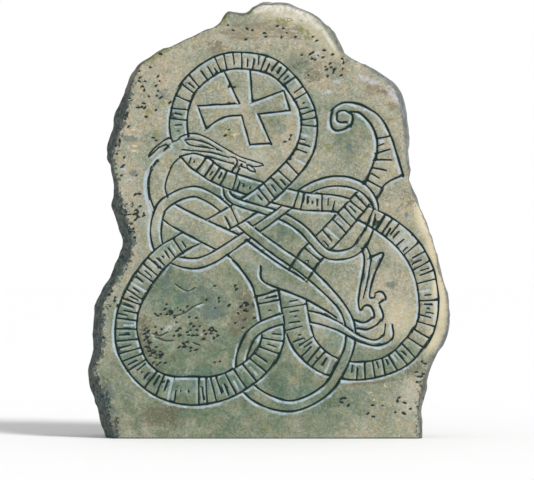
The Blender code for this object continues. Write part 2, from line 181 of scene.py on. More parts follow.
# ---- where the sides' colours lie ---------------------------------------------------------------
RIM_RUN = 0.027           # how far they run over the rim on to the front
RIM_ROW = 2                 # the row of the sides, behind the rim, whose colours these are
EAST_FACING = (0.05, 0.45)  # how far to the right a place looks as they set in and are full
WEST_FACING = (0.10, 0.45)
EAST_FOOT = (0.24, 0.40)    # the blue-grey of the right side sets in between these heights
EAST_FOOT_LOSS = 0.7        # how much of it is missing below them
EAST_FOOT_DARK = 0.40       # and how much of the left side's painted shade is put there instead
WEST_TOP = (1.37, 1.60)     # the left side's painted shade fades out between these heights
PATCH_FADE = (0.45, 1.55)   # how far out a patch begins to fade and ends, against its half sizes

# ---- colours ------------------------------------------------------------------------------------
BEIGE = (0.405, 0.378, 0.284)
GREY_GREEN = (0.285, 0.305, 0.228)
GREEN_GREY = (0.205, 0.236, 0.180)
# lighter tone, and along the top edge a painted highlight
BRIGHT = (0.740, 0.710, 0.630)
PINKISH = (0.500, 0.430, 0.330)
SAND = (0.450, 0.396, 0.268)
DAMP_TINT = (0.34, 0.50, 0.43)
WARM_TINT = (1.10, 1.01, 0.83)
COOLER_TINT = (0.90, 1.00, 1.00)
# painted light, along the lit right edge and over the top right
SUNNY = (0.660, 0.580, 0.390)
COOL_TINT = (0.66, 0.86, 0.96)
DARK_GRAIN = (0.090, 0.100, 0.074)
PALE_GRAIN = (0.560, 0.550, 0.460)
BROWN_GRAIN = (0.230, 0.190, 0.120)
WASH = (0.82, 0.88, 0.86)
SLATE = (0.080, 0.122, 0.124)
BROWN = (0.118, 0.098, 0.058)
UMBER = (0.030, 0.038, 0.028)
RUST = (0.190, 0.150, 0.095)
CREAM = (0.640, 0.550, 0.330)
PALE = (0.490, 0.505, 0.540)
MOSS = (0.190, 0.200, 0.055)
# painted shade on the left side, which faces away from the light: near black and blotched
WEST_SHADE_DARK = (0.014, 0.030, 0.032)
WEST_SHADE_MID = (0.098, 0.130, 0.126)
WEST_BROWN = (0.165, 0.150, 0.100)
EAST_DARK = (0.085, 0.100, 0.105)
EAST_GREY = (0.240, 0.262, 0.270)
EDGE_DARK = (0.045, 0.052, 0.046)
SIDE_GREY = (0.165, 0.165, 0.140)
LIT_FLANK_PAINT = (0.400, 0.487, 0.545)         # painted highlight, on a cut's flank that faces the light
SHADED_FLANK_PAINT = (0.004, 0.021, 0.022)         # painted shade, on the flank that faces away from it
PIT_SHADE_PAINT = (0.010, 0.014, 0.010)     # and what the painted shade of the pits and cracks is nearer to
SHEEN = 0.35

# ---- the granite's layers -----------------------------------------------------------------------
# Patches are: their fineness, detail, roughness and warp; how they are moved, stretched or turned;
# where in their noise they begin and are full, and their strength at each (else 0 and 1). In a
# layer their colour follows, and whether it covers (MIX) or tints (MULTIPLY) what is below.
GROUND_LAYERS = (
    ((3.1, 4, 0.55, 0.6), {}, (0.42, 0.62), GREY_GREEN, "MIX"),
    ((2.3, 3, 0.5, 0.4), {"offset": (5, 2, 1)}, (0.52, 0.70, 0, 0.55), PINKISH, "MIX"),
    ((9.0, 4, 0.6, 0.5), {"offset": (1, 7, 3)}, (0.50, 0.66, 0, 0.65), GREEN_GREY, "MIX"),
    ((14.0, 4, 0.6, 0.3), {"scale": (1.0, 1.0, 0.35), "turn": math.radians(35)},
     (0.52, 0.70, 0, 0.55), SAND, "MIX"))
HUES = ((27.0, 3, 0.58, 0.8), {"offset": (6, 9, 2)})
FINE_LAYERS = (
    ((30.0, 4, 0.6, 0.7), {"offset": (3, 1, 8)}, (0.46, 0.60, 0, 0.9), WASH, "MULTIPLY"),
    (*HUES, (0.50, 0.62, 0, 0.8), WARM_TINT, "MULTIPLY"),
    (*HUES, (0.38, 0.49, 0.9, 0), COOLER_TINT, "MULTIPLY"),
    ((52.0, 3, 0.6, 0.5), {"offset": (2, 6, 4)}, (0.55, 0.66, 0, 0.36), PALE_GRAIN, "MIX"))
BROWN_LAYER = ((70.0, 3, 0.6), {}, (0.38, 0.62, 0, 0.32), BROWN_GRAIN, "MIX")
WEST_LAYER = ((34.0, 4, 0.6, 0.4), {"offset": (8, 3, 2)}, (0.52, 0.64, 0, 0.35), WEST_BROWN, "MIX")
PINK_SHARE = 0.7
CRYSTALS = 170.0
DARK_CRYSTALS = (0.62, 0.95, 0, 0.42)       # mica: from which tone on, and how strong
PALE_CRYSTALS = (0.66, 0.98, 0, 0.42)       # feldspar
LOW_CRYSTALS = (0.75, 1.0)                  # those that lie a little deeper
RAGGED = ((26.0, 6, 0.65, 0.8), {}, (0.25, 0.75))
FINE_RAGGED = ((75.0, 4, 0.6, 0.4), {}, (0.25, 0.75))
STREAKY = ((62.0, 4, 0.62, 0.5), {"scale": (0.45, 1.0, 1.5)}, (0.30, 0.70))
POLISH = (30.0, 4)
POLISH_CRYSTALS = 0.2
ROUGHNESS = (0.3, 0.9, 0.80, 0.96)
RELIEF = (110.0, 5, 0.65)
RELIEF_SHARES = (0.6, 0.5, 0.15)            # of its noise, its ragged patches and its low crystals
BUMP_HEIGHT = 0.0016
BUMP_STRENGTH = 0.8

# The sides' colours. Behind is 0 at the front's rim and 1 at the back's.
SIDE_PATCHES = ((16.0, 5, 0.65, 0.5), {}, (0.35, 0.6, 0.45, 0.85))
BLOTCHES = ((58.0, 5, 0.6, 0.6), {"offset": (4, 4, 9)})
EAST_STREAKS = ((50.0, 4, 0.65, 0.3), {"scale": (1.0, 1.0, 0.45)}, (0.42, 0.64))
EAST_BLOTCHES = (0.36, 0.56, 0.5, 1.0)
EAST_BEHIND = (0.12, 0.45, 0.95, 0.30)
WEST_BLOTCHES = (0.40, 0.58)
WEST_BEHIND = (0.35, 0.95, 1.0, 0.15)
WEST_ONSET = (0.0, 0.15)
WEST_SHARE = 0.92
NEAR_RIM = (0.05, 0.30)     # behind: where the left side's blotches turn from bold to soft
NEAR_RAGGED = (1.25, 0.4)   # how ragged they are before and after that
NEAR_LOW = (0.32, 0.10)     # the sum of mask and texture at which they set in
NEAR_FULL = (0.52, 0.85)    # and are full
EDGE_BEHIND = (0.05, 0.28, 0.85, 0.0)
EDGE_PATCHES = ((36.0, 4, 0.6), {}, (0.32, 0.58, 0.35, 1.0))
EDGE_WEST = 0.6             # how much of the dark edge round the front the left side lacks

# The cuts' painted shade and highlight. Nearness is 1 in the middle of a cut and 0 where its paint
# ends. Across is -1 at the lit lip, painted as a highlight, and 1 at the shaded one, painted as shade.
PAINT_WAVER = (45.0, 3, 0.6)
PAINT_SHIFT = 0.5           # how far that moves the paint across a cut
PAINT_ONSET = (0.1, 0.3)    # at this nearness
DARK_NEAR = (0.38, 0.54)
DARK_ACROSS = (-0.22, 0.0)
PALE_ACROSS = (-0.50, -0.20, 1.0, 0.0)
PALE_END = ((11.0, 4, 0.65), {}, (0.35, 0.62, 0.34, 0.04))      # the nearness where the painted highlight ends
PALE_FADE = (0.0, 0.12)
# where the painted highlight is broken up
HIGHLIGHT_BREAKS = ((23.0, 4, 0.65), {}, (0.34, 0.60, 0.30, 0.95))
SHADE_PAINT_STRENGTH = (0.82, 0.97)     # a weaker cut has the pits' painted shade, a stronger one the lines'

# Areas that change the stone's tone, some of them painted light: their kind, and the rest as above,
# with no moves.
TONE_AND_LIGHT_AREAS = (
    ("damp", (13.0, 5, 0.6, 0.5), (0.30, 0.66, 0.45, 1.0), DAMP_TINT, "MULTIPLY"),
    ("cool", (28.0, 4, 0.6, 0.5), (0.36, 0.60, 0.35, 1.0), COOL_TINT, "MULTIPLY"),
    ("sunny", (48.0,), (0.34, 0.58, 0.85, 0.85), SUNNY, "MIX"),
    ("bright", (48.0, 5, 0.65, 0.6), (0.34, 0.58, 0.35, 0.95), BRIGHT, "MIX"))

# Stains and growths that break up towards their edges, a few of them painted shade: kind, colour,
# strength, how they break up, and the sum of mask and texture from which they are full.
GROWTHS = (
    ("slate", SLATE, 0.6, "ragged", 1.12), ("brown", BROWN, 0.6, "fine", 1.12),
    ("rust", RUST, 0.55, "streaky", 1.12), ("cream", CREAM, 0.8, "ragged", 1.12),
    ("pale", PALE, 0.85, "fine", 1.50), ("moss", MOSS, 0.70, "fine", 1.12),
    ("umber", UMBER, 0.9, "fine", 1.12))
STAIN_SPREAD = 0.75         # how far a stain's full strength lifts its texture into view
STAIN_FROM = 0.82           # the sum of mask and texture at which it first shows
STAIN_RIM = (0.0, 0.25)     # of its mask: it fades out there, however bold its texture is

# ---- the studio ---------------------------------------------------------------------------------
AMBIENT = 0.56              # the even light from all round
BACKDROP = 1.0              # the white that the camera sees behind
KEY_DIRECTION = (0.55, -0.52, 0.65)
KEY_POWER = 2.5
KEY_SOFTNESS = 16.0         # how wide the key light is, in degrees
FLOOR_RADIUS = 60.0
FLOOR_SIDES = 96
FLOOR_GAP = 0.0005          # the stone's base stands this far above it
FLOOR_COLOUR = (0.95, 0.95, 0.95, 1.0)
FLOOR_ROUGHNESS = 0.9
SENSOR = 36.0
FAR_CLIP = 200.0
CAMERA_AWAY = 16.0
CAMERA_ELEVATION = 0.0
VIEW_WIDTH = 2.266          # across the picture at the stone's front
VIEW_SHIFT = -0.0096        # from the stone's middle to the picture's
VIEW_HEIGHT = 0.843         # of the picture's middle above the ground

# ---- outline, from the left foot over the top to the right foot ---------------------------------
# It is finer than the CAD model's: 4 mm from it on average, and 18 mm at most.
OUTLINE = [
    (-695, 0, 34), (-728, 90, 36), (-758, 190, 38), (-773, 300, 13), (-755, 350, 24),
    (-770, 440, 44), (-770, 510, 42), (-746, 572, 30), (-695, 665, 15), (-655, 760, 34),
    (-634, 830, 42), (-663, 905, 38), (-683, 1000, 40), (-682, 1075, 30), (-700, 1185, 22),
    (-666, 1350, 36), (-610, 1525, 18), (-560, 1592, 8), (-462, 1661, 6), (-300, 1733, 6),
    (-240, 1766, 6), (-186, 1828, 6), (-118, 1811, 6), (-55, 1845, 6), (25, 1853, 5),
    (110, 1844, 5), (168, 1822, 5), (208, 1800, 5), (228, 1763, 5), (255, 1750, 5), (287, 1682, 5),
    (345, 1625, 6), (455, 1560, 8), (540, 1490, 12), (570, 1400, 15), (590, 1240, 12),
    (604, 1120, 7), (648, 975, 5), (695, 840, 4), (735, 675, 3), (760, 570, 3), (757, 470, 4),
    (735, 402, 8), (692, 305, 18), (678, 240, 24), (641, 140, 12), (643, 60, 7), (640, 0, 7)]

# ---- bands: middle line and width ---------------------------------------------------------------
RING_BAND = [
    (-390, 1280, 75), (-395, 1335, 75), (-380, 1425, 70), (-335, 1505, 70), (-200, 1595, 70),
    (-35, 1590, 70), (50, 1545, 65), (155, 1385, 65), (140, 1220, 75), (35, 1085, 80),
    (-130, 960, 85), (-380, 825, 75), (-470, 760, 85), (-590, 590, 85), (-615, 495, 90),
    (-605, 385, 100), (-550, 285, 90), (-460, 220, 100), (-345, 200, 120), (-225, 210, 110),
    (-115, 260, 100), (-35, 330, 95), (5, 415, 95), (0, 520, 95), (-25, 645, 100)]
RIGHT_BAND = [
    (-385, 1195, 0), (-335, 1180, 60), (-285, 1155, 75), (-225, 1115, 70), (115, 1010, 75),
    (315, 985, 70), (550, 855, 85), (650, 700, 85), (660, 490, 80), (575, 360, 85),
    (500, 310, 75), (390, 285, 75), (310, 290, 80), (235, 315, 85), (165, 370, 95),
    (125, 435, 105), (85, 650, 105)]
CROSS_BAND = [(400, 1025, 75), (260, 865, 85), (165, 765, 90), (95, 660, 90)]
SERPENT = [
    (-190, 1065, 26), (-185, 1035, 28), (-160, 1010, 28), (50, 940, 32), (130, 890, 34),
    (245, 780, 36), (350, 790, 38), (390, 835, 40), (445, 965, 20), (430, 1015, 30),
    (385, 1065, 36), (300, 1090, 42), (215, 1080, 38), (135, 1040, 38), (55, 970, 34),
    (-160, 820, 40), (-255, 760, 44), (-325, 740, 44), (-415, 760, 38), (-480, 815, 44),
    (-470, 970, 44), (-340, 1045, 44), (-265, 1025, 44), (-80, 875, 42), (40, 785, 44),
    (155, 705, 44), (305, 550, 32), (335, 475, 40), (330, 385, 40), (290, 290, 44),
    (230, 200, 42), (85, 135, 46), (-65, 185, 56), (-120, 255, 48), (-125, 345, 44),
    (-80, 440, 44), (15, 495, 44), (160, 515, 48), (275, 480, 36), (380, 420, 24),
    (455, 405, 26), (495, 430, 40), (500, 485, 28)]
BODY = [(-460, 990, 80), (-425, 955, 85), (-145, 810, 100)]
BANDS = {"ring": RING_BAND, "right": RIGHT_BAND, "cross": CROSS_BAND,
         "serpent": SERPENT, "body": BODY}

# Where one band lies over another: (upper, lower, x, z). Where the serpent crosses itself, the
# part of it that comes later along its length is the upper one.
CROSSINGS = (
    ("ring", "right", -10, 1045), ("serpent", "ring", -80, 990), ("ring", "serpent", -165, 945),
    ("body", "ring", -285, 880), ("ring", "serpent", -460, 790), ("ring", "serpent", -115, 265),
    ("serpent", "ring", 0, 475), ("right", "serpent", 115, 1015),
    ("right", "serpent", -190, 1075), ("cross", "right", 345, 980),
    ("right", "serpent", 430, 930), ("serpent", "right", 285, 300),
    ("right", "serpent", 100, 515), ("serpent", "cross", 405, 1035),
    ("serpent", "cross", 200, 810), ("serpent", "serpent", 20, 960),
    ("serpent", "serpent", -80, 875), ("serpent", "serpent", 335, 450),
    ("serpent", "body", -450, 990), ("serpent", "body", -185, 815))
UNDER_HIP = ("ring", "right", "cross")      # the bands that end under the hip
CROSSING_RUN = 0.160        # how far along each band a crossing reaches, each way
SAME_PASS = 0.250           # two points of a band nearer than this along it are one pass

# ---- the hip, where the body ends in a spiral ---------------------------------------------------
HIP_LEFT = [(-185, 780), (-130, 720), (-80, 645), (-65, 600)]
HIP_END = [(-65, 600), (-20, 610), (35, 630)]
HIP_SPIRAL = [(-45, 730), (-40, 675), (145, 590), (280, 510), (320, 475)]
HIP_RIGHT = [(-105, 840), (35, 740), (145, 670), (210, 620), (250, 582)]
HIP_SPIRAL_OUTSIDE = 2      # the spiral bounds the hip from this point on

# ---- single grooves -----------------------------------------------------------------------------
CROSS = (
    [(-200, 1560), (-135, 1420)], [(-135, 1420), (-310, 1410)], [(-310, 1410), (-275, 1310)],
    [(-275, 1310), (-230, 1345), (-180, 1365), (-125, 1370)], [(-125, 1370), (-90, 1245)],
    [(-90, 1245), (0, 1250)], [(0, 1250), (-55, 1375)], [(-55, 1375), (80, 1390)],
    [(80, 1390), (55, 1475)], [(55, 1475), (-80, 1425)], [(-80, 1425), (-90, 1565)])
HEAD = [
    (-420, 1256), (-394, 1266), (-380, 1280), (-316, 1292), (-132, 1196), (-32, 1160),
    (-68, 1152), (-98, 1160)]
LAPPET = [
    (-424, 1276), (-454, 1262), (-508, 1214), (-520, 1192), (-468, 1236), (-440, 1244),
    (-434, 1238), (-452, 1220)]
EYE_TOP = [(-364, 1264), (-338, 1268), (-272, 1252), (-208, 1218)]
EYE_LOW = [(-364, 1264), (-350, 1248), (-240, 1228), (-208, 1218)]
JAW = [(-376, 1224), (-256, 1212), (-180, 1192)]
NECK_OUT = [(-480, 1180), (-515, 1125), (-515, 1030), (-495, 970)]
# a painted highlight beside the neck
NECK_LIT_RUN = [(-505, 955), (-526, 1030), (-526, 1110), (-498, 1172), (-462, 1212), (-425, 1240)]
NECK_IN = [(-380, 1195), (-420, 1155), (-450, 1070), (-440, 1025)]
WING_OUT = [
    (325, 1385), (345, 1370), (330, 1320), (275, 1305), (255, 1325), (260, 1390), (320, 1425),
    (445, 1380), (500, 1300), (560, 1115)]
WING_IN = [
    (320, 1340), (295, 1340), (280, 1350), (280, 1375), (300, 1390), (340, 1385), (375, 1380),
    (430, 1320), (450, 1235), (420, 1135), (395, 1085)]
WING_END = [(560, 1115), (490, 1080), (450, 1020)]
LEG_LEFT = [
    (385, 805), (395, 760), (370, 580), (380, 540), (400, 560), (420, 560), (435, 535),
    (435, 515), (400, 490), (355, 500)]
LEG_RIGHT = [
    (425, 765), (475, 785), (445, 715), (425, 655), (420, 595), (435, 595), (445, 615),
    (470, 620), (485, 595), (460, 565), (470, 540), (475, 515), (450, 480), (410, 460),
    (370, 465)]
WING_STROKES = (
    [(458, 1272), (506, 1282)], [(452, 1238), (480, 1250)], [(448, 1208), (506, 1226)],
    [(438, 1181), (512, 1181)], [(432, 1148), (490, 1136)], [(430, 1122), (460, 1104)],
    [(410, 1094), (468, 1064)])
LINES = (NECK_OUT, WING_END, *CROSS)
BOLD_LINES = (HIP_LEFT, HIP_END, HIP_SPIRAL, HIP_RIGHT, WING_OUT, WING_IN, LEG_LEFT, LEG_RIGHT)
FINE_LINES = (
    HEAD, LAPPET, EYE_TOP, EYE_LOW, JAW, NECK_IN,
    [(-272, 1197), (-218, 1181), (-158, 1164)],
    [(-170, 1194), (-149, 1188), (-145, 1173), (-164, 1135)],
    [(-122, 1166), (-136, 1143), (-149, 1115)],
    [(-135, 1181), (-107, 1169)],
    [(-126, 1153), (-103, 1145), (-87, 1135), (-66, 1131), (-74, 1147), (-85, 1154)],
    [(-98, 1159), (-103, 1146)],
    [(402, 821), (416, 790), (422, 760), (416, 710), (405, 653), (391, 595)],
    [(443, 952), (431, 898)],
    [(-426, 1281), (-418, 1256)])

# Natural cracks, and the places where pits are sown: (x, z, half across, half up, how many).
CRACKS = (
    [(-400, 520), (-360, 535), (-325, 560), (-290, 575)],
    [(-505, 445), (-470, 435), (-440, 450)],
    [(-490, 430), (-450, 415), (-415, 415)],
    [(-405, 655), (-385, 640), (-350, 625), (-320, 640)],
    [(-330, 405), (-300, 395)])
# The pits by the left loop's inner edge, near x -515 and z 350 to 440, paint a dark crack with painted
# shade along it, together with the umber and brown there.
PITS = (
    (-515, 1460, 75, 155, 30), (-180, 1475, 30, 35, 4), (85, 1245, 45, 65, 6), (235, 1600, 75, 55, 22),
    (-584, 955, 34, 34, 12), (-592, 890, 26, 40, 10), (-572, 1040, 14, 40, 7),
    (-618, 1380, 14, 70, 10), (-365, 500, 150, 185, 34), (-360, 385, 34, 20, 10),
    (-260, 445, 46, 24, 14), (-340, 450, 50, 22, 12), (-680, 605, 25, 40, 7), (290, 160, 25, 35, 5),
    (640, 250, 30, 45, 16), (560, 130, 50, 45, 9), (440, 120, 60, 40, 5), (60, 1715, 105, 30, 8),
    (-180, 1310, 25, 30, 4), (-130, 1725, 85, 30, 8), (-715, 460, 20, 110, 8), (-115, 560, 45, 85, 12),
    (-515, 410, 22, 55, 14), (-534, 430, 9, 60, 10), (-505, 355, 16, 30, 9), (-465, 320, 30, 10, 7),
    (-660, 1240, 18, 60, 7), (-635, 1140, 14, 60, 6), (-470, 360, 35, 14, 6), (-430, 540, 40, 30, 7))

# Stains, growths, areas of tone and painted light: (x, z, half along, half across, turned, how
# strong).
# At the front's lower left, by x -700 and z 60 to 220, dark slate, brown, umber and damp patches carry
# the left side's painted shade on to the front.
STAINS_AND_PAINTED_LIGHT = {
    "damp": (
        (-200, 240, 560, 290, 0, 1), (0, 640, 240, 300, -20, 0.8), (-400, 620, 170, 150, 0, 0.9),
        (40, 880, 150, 90, 0, 0.9), (-630, 475, 60, 130, 0, 1), (440, 330, 200, 90, 12, 0.8),
        (-110, 1040, 110, 80, -35, 0.7), (220, 1370, 110, 110, 0, 0.5), (0, 1390, 80, 110, 0, 0.7),
        (335, 1310, 80, 120, 0, 0.8), (120, 1600, 45, 45, 0, 0.6), (400, 180, 90, 60, 0, 0.5),
        (-60, 1050, 260, 50, 0, 0.9), (335, 270, 75, 40, 10, 0.6), (335, 830, 70, 40, -25, 0.5),
        (12, 1375, 60, 65, 0, 0.8), (-380, 830, 110, 60, 0, 0.35), (340, 430, 60, 110, 0, 0.35),
        (230, 150, 190, 90, 0, 0.9), (-700, 190, 40, 130, 8, 0.8)),
    "moss": (
        (-485, 1625, 62, 15, 34, 1), (-430, 1655, 40, 10, 25, 0.8), (-195, 1785, 30, 16, 45, 1),
        (-90, 1815, 24, 14, 20, 0.9), (55, 1775, 70, 12, 0, 0.8), (150, 1715, 40, 16, -50, 0.8),
        (-460, 1425, 16, 12, 0, 0.9), (-515, 1385, 14, 16, 0, 0.9), (-490, 1300, 16, 16, 0, 0.9),
        (240, 1235, 24, 16, 0, 0.8), (-180, 1290, 20, 30, 20, 0.9), (-205, 1320, 20, 15, 20, 0.8),
        (-560, 1590, 40, 12, 40, 0.5)),
    "rust": (
        (-85, 1735, 110, 35, 8, 0.9), (60, 1728, 95, 30, -5, 0.8), (-235, 1650, 50, 12, 10, 1),
        (200, 1590, 25, 20, 0, 0.7), (435, 1480, 55, 20, -15, 0.9), (515, 1410, 26, 16, -30, 0.9),
        (310, 1560, 15, 15, 0, 0.8), (330, 1600, 16, 16, 0, 0.7), (430, 240, 120, 12, 5, 0.7),
        (-130, 690, 30, 40, 0, 0.3)),
    "pale": (
        (195, 1635, 16, 14, 0, 0.8), (470, 1262, 14, 12, 0, 1), (285, 1515, 26, 14, 0, 0.8),
        (385, 1535, 28, 12, 0, 0.8), (235, 1465, 34, 12, 25, 0.9), (420, 1520, 50, 14, -25, 0.9),
        (525, 1455, 60, 18, -52, 1), (-625, 1150, 18, 22, 0, 0.8), (-597, 1098, 18, 9, 0, 0.9),
        (-594, 1215, 14, 9, 0, 0.8), (-578, 985, 26, 7, 0, 0.8), (-432, 468, 34, 9, 34, 1),
        (-392, 500, 16, 5, 30, 0.9), (-292, 442, 9, 5, 0, 1), (-248, 424, 8, 5, 0, 1),
        (-204, 398, 8, 4, 0, 1), (-330, 405, 7, 4, 0, 0.9), (330, 1600, 34, 18, 0, 0.5),
        (-302, 566, 22, 6, 14, 0.9), (588, 1300, 12, 110, 5, 0.9)),
    "cream": (
        (-583, 1312, 12, 4, 10, 1), (-600, 1290, 10, 5, 0, 1), (-578, 1242, 13, 5, -8, 1),
        (-578, 1222, 10, 4, 8, 1), (425, 195, 8, 5, 0, 1), (440, 165, 7, 5, 0, 0.9),
        (485, 225, 6, 5, 0, 0.9), (395, 215, 6, 4, 0, 0.9), (310, 1545, 12, 5, 0, 0.9),
        (330, 1565, 12, 4, 0, 0.9), (370, 1580, 9, 4, 10, 0.9), (-150, 1290, 14, 4, 30, 0.8)),
    # lighter tone here and there; along the top edge, at full strength, a painted highlight
    "bright": (
        (-95, 1165, 75, 45, 25, 0.22), (-505, 720, 100, 35, 40, 0.2), (-45, 725, 95, 35, -35, 0.16),
        (110, 610, 75, 35, -35, 0.18), (548, 835, 50, 80, 20, 0.22), (660, 930, 30, 75, 20, 0.2),
        (-110, 1595, 90, 30, 5, 0.2), (-510, 935, 45, 75, 5, 0.22), (600, 170, 45, 80, 0, 0.2),
        (225, 500, 45, 60, -20, 0.18), (-420, 945, 60, 30, -30, 0.15), (120, 1812, 70, 12, -24, 1),
        (20, 1842, 90, 9, -3, 1), (40, 1830, 110, 20, -4, 1), (-30, 1826, 50, 14, 12, 0.9),
        (170, 1772, 70, 11, -36, 0.9), (245, 1698, 70, 8, -58, 0.8), (80, 1800, 90, 22, -14, 0.6),
        (330, 1630, 60, 8, -42, 0.6)),
    # painted light along the lit right edge and over the top right
    "sunny": (
        (70, 1790, 120, 26, -10, 0.45), (185, 1725, 80, 30, -46, 0.5), (255, 1660, 60, 22, -56, 0.45),
        (716, 610, 30, 150, 2, 1), (690, 800, 24, 90, 14, 0.9), (655, 930, 34, 90, 20, 1),
        (690, 420, 26, 60, -28, 0.8), (560, 510, 60, 80, 10, 0.4)),
    "cool": (
        (-395, 1340, 34, 110, 0, 0.9), (60, 1530, 50, 60, -50, 0.9), (155, 1340, 30, 130, -5, 0.9),
        (-70, 1000, 130, 50, -38, 0.8), (320, 950, 70, 50, 35, 0.7), (-600, 450, 40, 120, 0, 0.6),
        (60, 520, 50, 120, -8, 0.6), (-260, 240, 220, 60, 0, 1), (320, 450, 80, 130, 0, 0.9),
        (-60, 480, 90, 60, 0, 0.6), (120, 170, 90, 60, 0, 0.6), (-380, 830, 110, 50, 0, 0.6),
        (-270, 560, 90, 50, 0, 0.5), (-50, 1050, 190, 50, 0, 0.7), (-400, 605, 90, 50, 0, 0.6),
        (-430, 600, 110, 60, 0, 0.6), (300, 1390, 60, 40, 0, 0.6)),
    "slate": (
        (-240, 536, 64, 28, 5, 1), (-362, 604, 36, 28, 0, 0.75), (-585, 1130, 18, 14, 0, 0.9),
        (508, 650, 28, 18, 8, 1), (-460, 665, 36, 32, 0, 0.5), (-595, 1275, 28, 14, 0, 1),
        (-455, 1465, 36, 26, 0, 0.6), (-530, 1270, 26, 20, 0, 0.5), (-690, 215, 26, 50, 12, 0.8),
        (-670, 100, 22, 34, 0, 0.8), (-600, 190, 20, 14, 0, 0.5), (-205, 1535, 40, 20, 0, 0.5),
        (315, 590, 26, 24, 0, 0.5), (-430, 735, 30, 26, 0, 0.5), (-250, 610, 24, 30, 0, 0.5),
        (40, 205, 120, 45, 0, 0.5), (0, 845, 85, 50, 0, 0.6), (-300, 640, 105, 45, 0, 0.45),
        (330, 1240, 60, 40, 0, 0.5), (560, 960, 40, 40, 0, 0.4)),
    "brown": (
        (-100, 560, 38, 80, 10, 1), (-140, 490, 40, 50, 0, 1), (-535, 490, 28, 36, 0, 0.8),
        (-470, 95, 90, 50, 0, 0.9), (430, 242, 130, 12, 5, 0.9), (610, 300, 50, 30, 32, 0.8),
        (-530, 395, 22, 66, 30, 1), (-235, 1675, 40, 18, 0, 0.7), (-385, 140, 85, 34, 0, 0.6),
        (175, 1545, 40, 34, 0, 0.9), (125, 1585, 45, 22, 15, 0.7), (475, 1475, 32, 13, -12, 0.8),
        (-640, 970, 24, 36, 0, 0.9), (595, 1015, 50, 46, 0, 0.6), (-705, 170, 20, 100, 8, 0.9),
        (-660, 60, 30, 40, 0, 0.8), (650, 250, 22, 60, -20, 0.8)),
    "umber": (
        (-520, 430, 14, 62, 14, 0.8), (-488, 362, 30, 10, -32, 0.8), (-112, 505, 12, 14, 0, 0.7),
        (-68, 560, 7, 22, 12, 0.7), (-604, 915, 13, 75, 6, 0.7), (-588, 990, 14, 20, 0, 0.6),
        (-700, 165, 16, 55, 8, 0.7), (-655, 70, 18, 20, 0, 0.6), (-690, 560, 10, 30, -20, 0.6),
        (-640, 1230, 8, 30, 0, 0.6)),
    "pink": (
        (530, 595, 95, 115, 0, 0.7), (-515, 1480, 105, 130, 0, 0.6), (-170, 1700, 150, 45, 0, 0.6),
        (-610, 560, 60, 90, 0, 0.5), (600, 180, 60, 80, 0, 0.7), (-615, 1230, 50, 120, 0, 0.7),
        (-600, 800, 40, 150, 0, 0.7), (-695, 420, 34, 130, 0, 0.8), (-600, 1050, 50, 140, 0, 0.8),
        (150, 1660, 120, 60, -40, 1))}


def metres(points):
    """A list of millimetre points as metres."""
    return [tuple(value * MM for value in point) for point in points]


def spline(points, step):
    """A smooth curve through the points (centripetal Catmull-Rom), with a point about every step.

    Every value of a point is carried along, so a width runs smoothly too.
    """
    first, last = np.array(points[0]), np.array(points[-1])
    knots = [2 * first - np.array(points[1])] + [np.array(p) for p in points]
    knots.append(2 * last - np.array(points[-2]))
    curve = []
    for p0, p1, p2, p3 in zip(knots, knots[1:], knots[2:], knots[3:]):
        gaps = [math.sqrt(np.linalg.norm((b - a)[:2])) for a, b in ((p0, p1), (p1, p2), (p2, p3))]
        start = (p1 - p0) / gaps[0] - (p2 - p0) / (gaps[0] + gaps[1]) + (p2 - p1) / gaps[1]
        end = (p2 - p1) / gaps[1] - (p3 - p1) / (gaps[1] + gaps[2]) + (p3 - p2) / gaps[2]
        count = max(1, round(np.linalg.norm((p2 - p1)[:2]) / step))
        for i in range(count):
            t = i / count
            curve.append((2 * t**3 - 3 * t**2 + 1) * p1 + (t**3 - 2 * t**2 + t) * gaps[1] * start
                         + (3 * t**2 - 2 * t**3) * p2 + (t**3 - t**2) * gaps[1] * end)
    curve.append(last)
    return np.array(curve)


def drawn(points):
    """A smooth curve, finely stepped, through millimetre points."""
    return spline(metres(points), PATH_STEP)


def lengths_along(curve):
    """The distance of each point from the curve's start."""
    steps = np.linalg.norm(np.diff(curve[:, :2], axis=0), axis=1)
    return np.concatenate(([0.0], np.cumsum(steps)))


def resample(curve, step):
    """Points at equal distances along a curve, its two ends included."""
    along = lengths_along(curve)
    count = max(1, round(along[-1] / step))
    places = np.linspace(0.0, along[-1], count + 1)
    return np.stack([np.interp(places, along, column) for column in curve.T], axis=1)


def normals(curve):
    """Unit normals to the left of a curve's direction."""
    tangent = np.gradient(curve[:, :2], axis=0)
    tangent /= np.linalg.norm(tangent, axis=1)[:, None]
    return np.stack([-tangent[:, 1], tangent[:, 0]], axis=1)


def smoothed(points, rounds):
    """A line of points, each drawn towards its neighbours; the ends stay."""
    points = points.copy()
    for _ in range(rounds):
        points[1:-1] = (points[:-2] + 2 * points[1:-1] + points[2:]) / 4
    return points


def smoothstep(low, high, values):
    """From 0 at low to 1 at high, smoothly."""
    t = np.clip((values - low) / (high - low), 0.0, 1.0)
    return t * t * (3 - 2 * t)


def inside(polygon, points):
    """Which points lie inside a closed polygon."""
    result = np.zeros(len(points), dtype=bool)
    x, z = points[:, 0], points[:, 1]
    for (x1, z1), (x2, z2) in zip(polygon, np.roll(polygon, -1, axis=0)):
        if z1 != z2:
            spans = (z1 > z) != (z2 > z)
            result ^= spans & (x < (x2 - x1) * (z - z1) / (z2 - z1) + x1)
    return result


def tree_of(points):
    """A tree that finds the nearest of some flat points quickly."""
    tree = KDTree(len(points))
    for i, (x, z) in enumerate(points):
        tree.insert((x, z, 0.0), i)
    tree.balance()
    return tree


def distance_to(points, targets):
    """The distance from each point to the nearest target."""
    tree = tree_of(targets)
    return np.array([tree.find((x, z, 0.0))[2] for x, z in points])


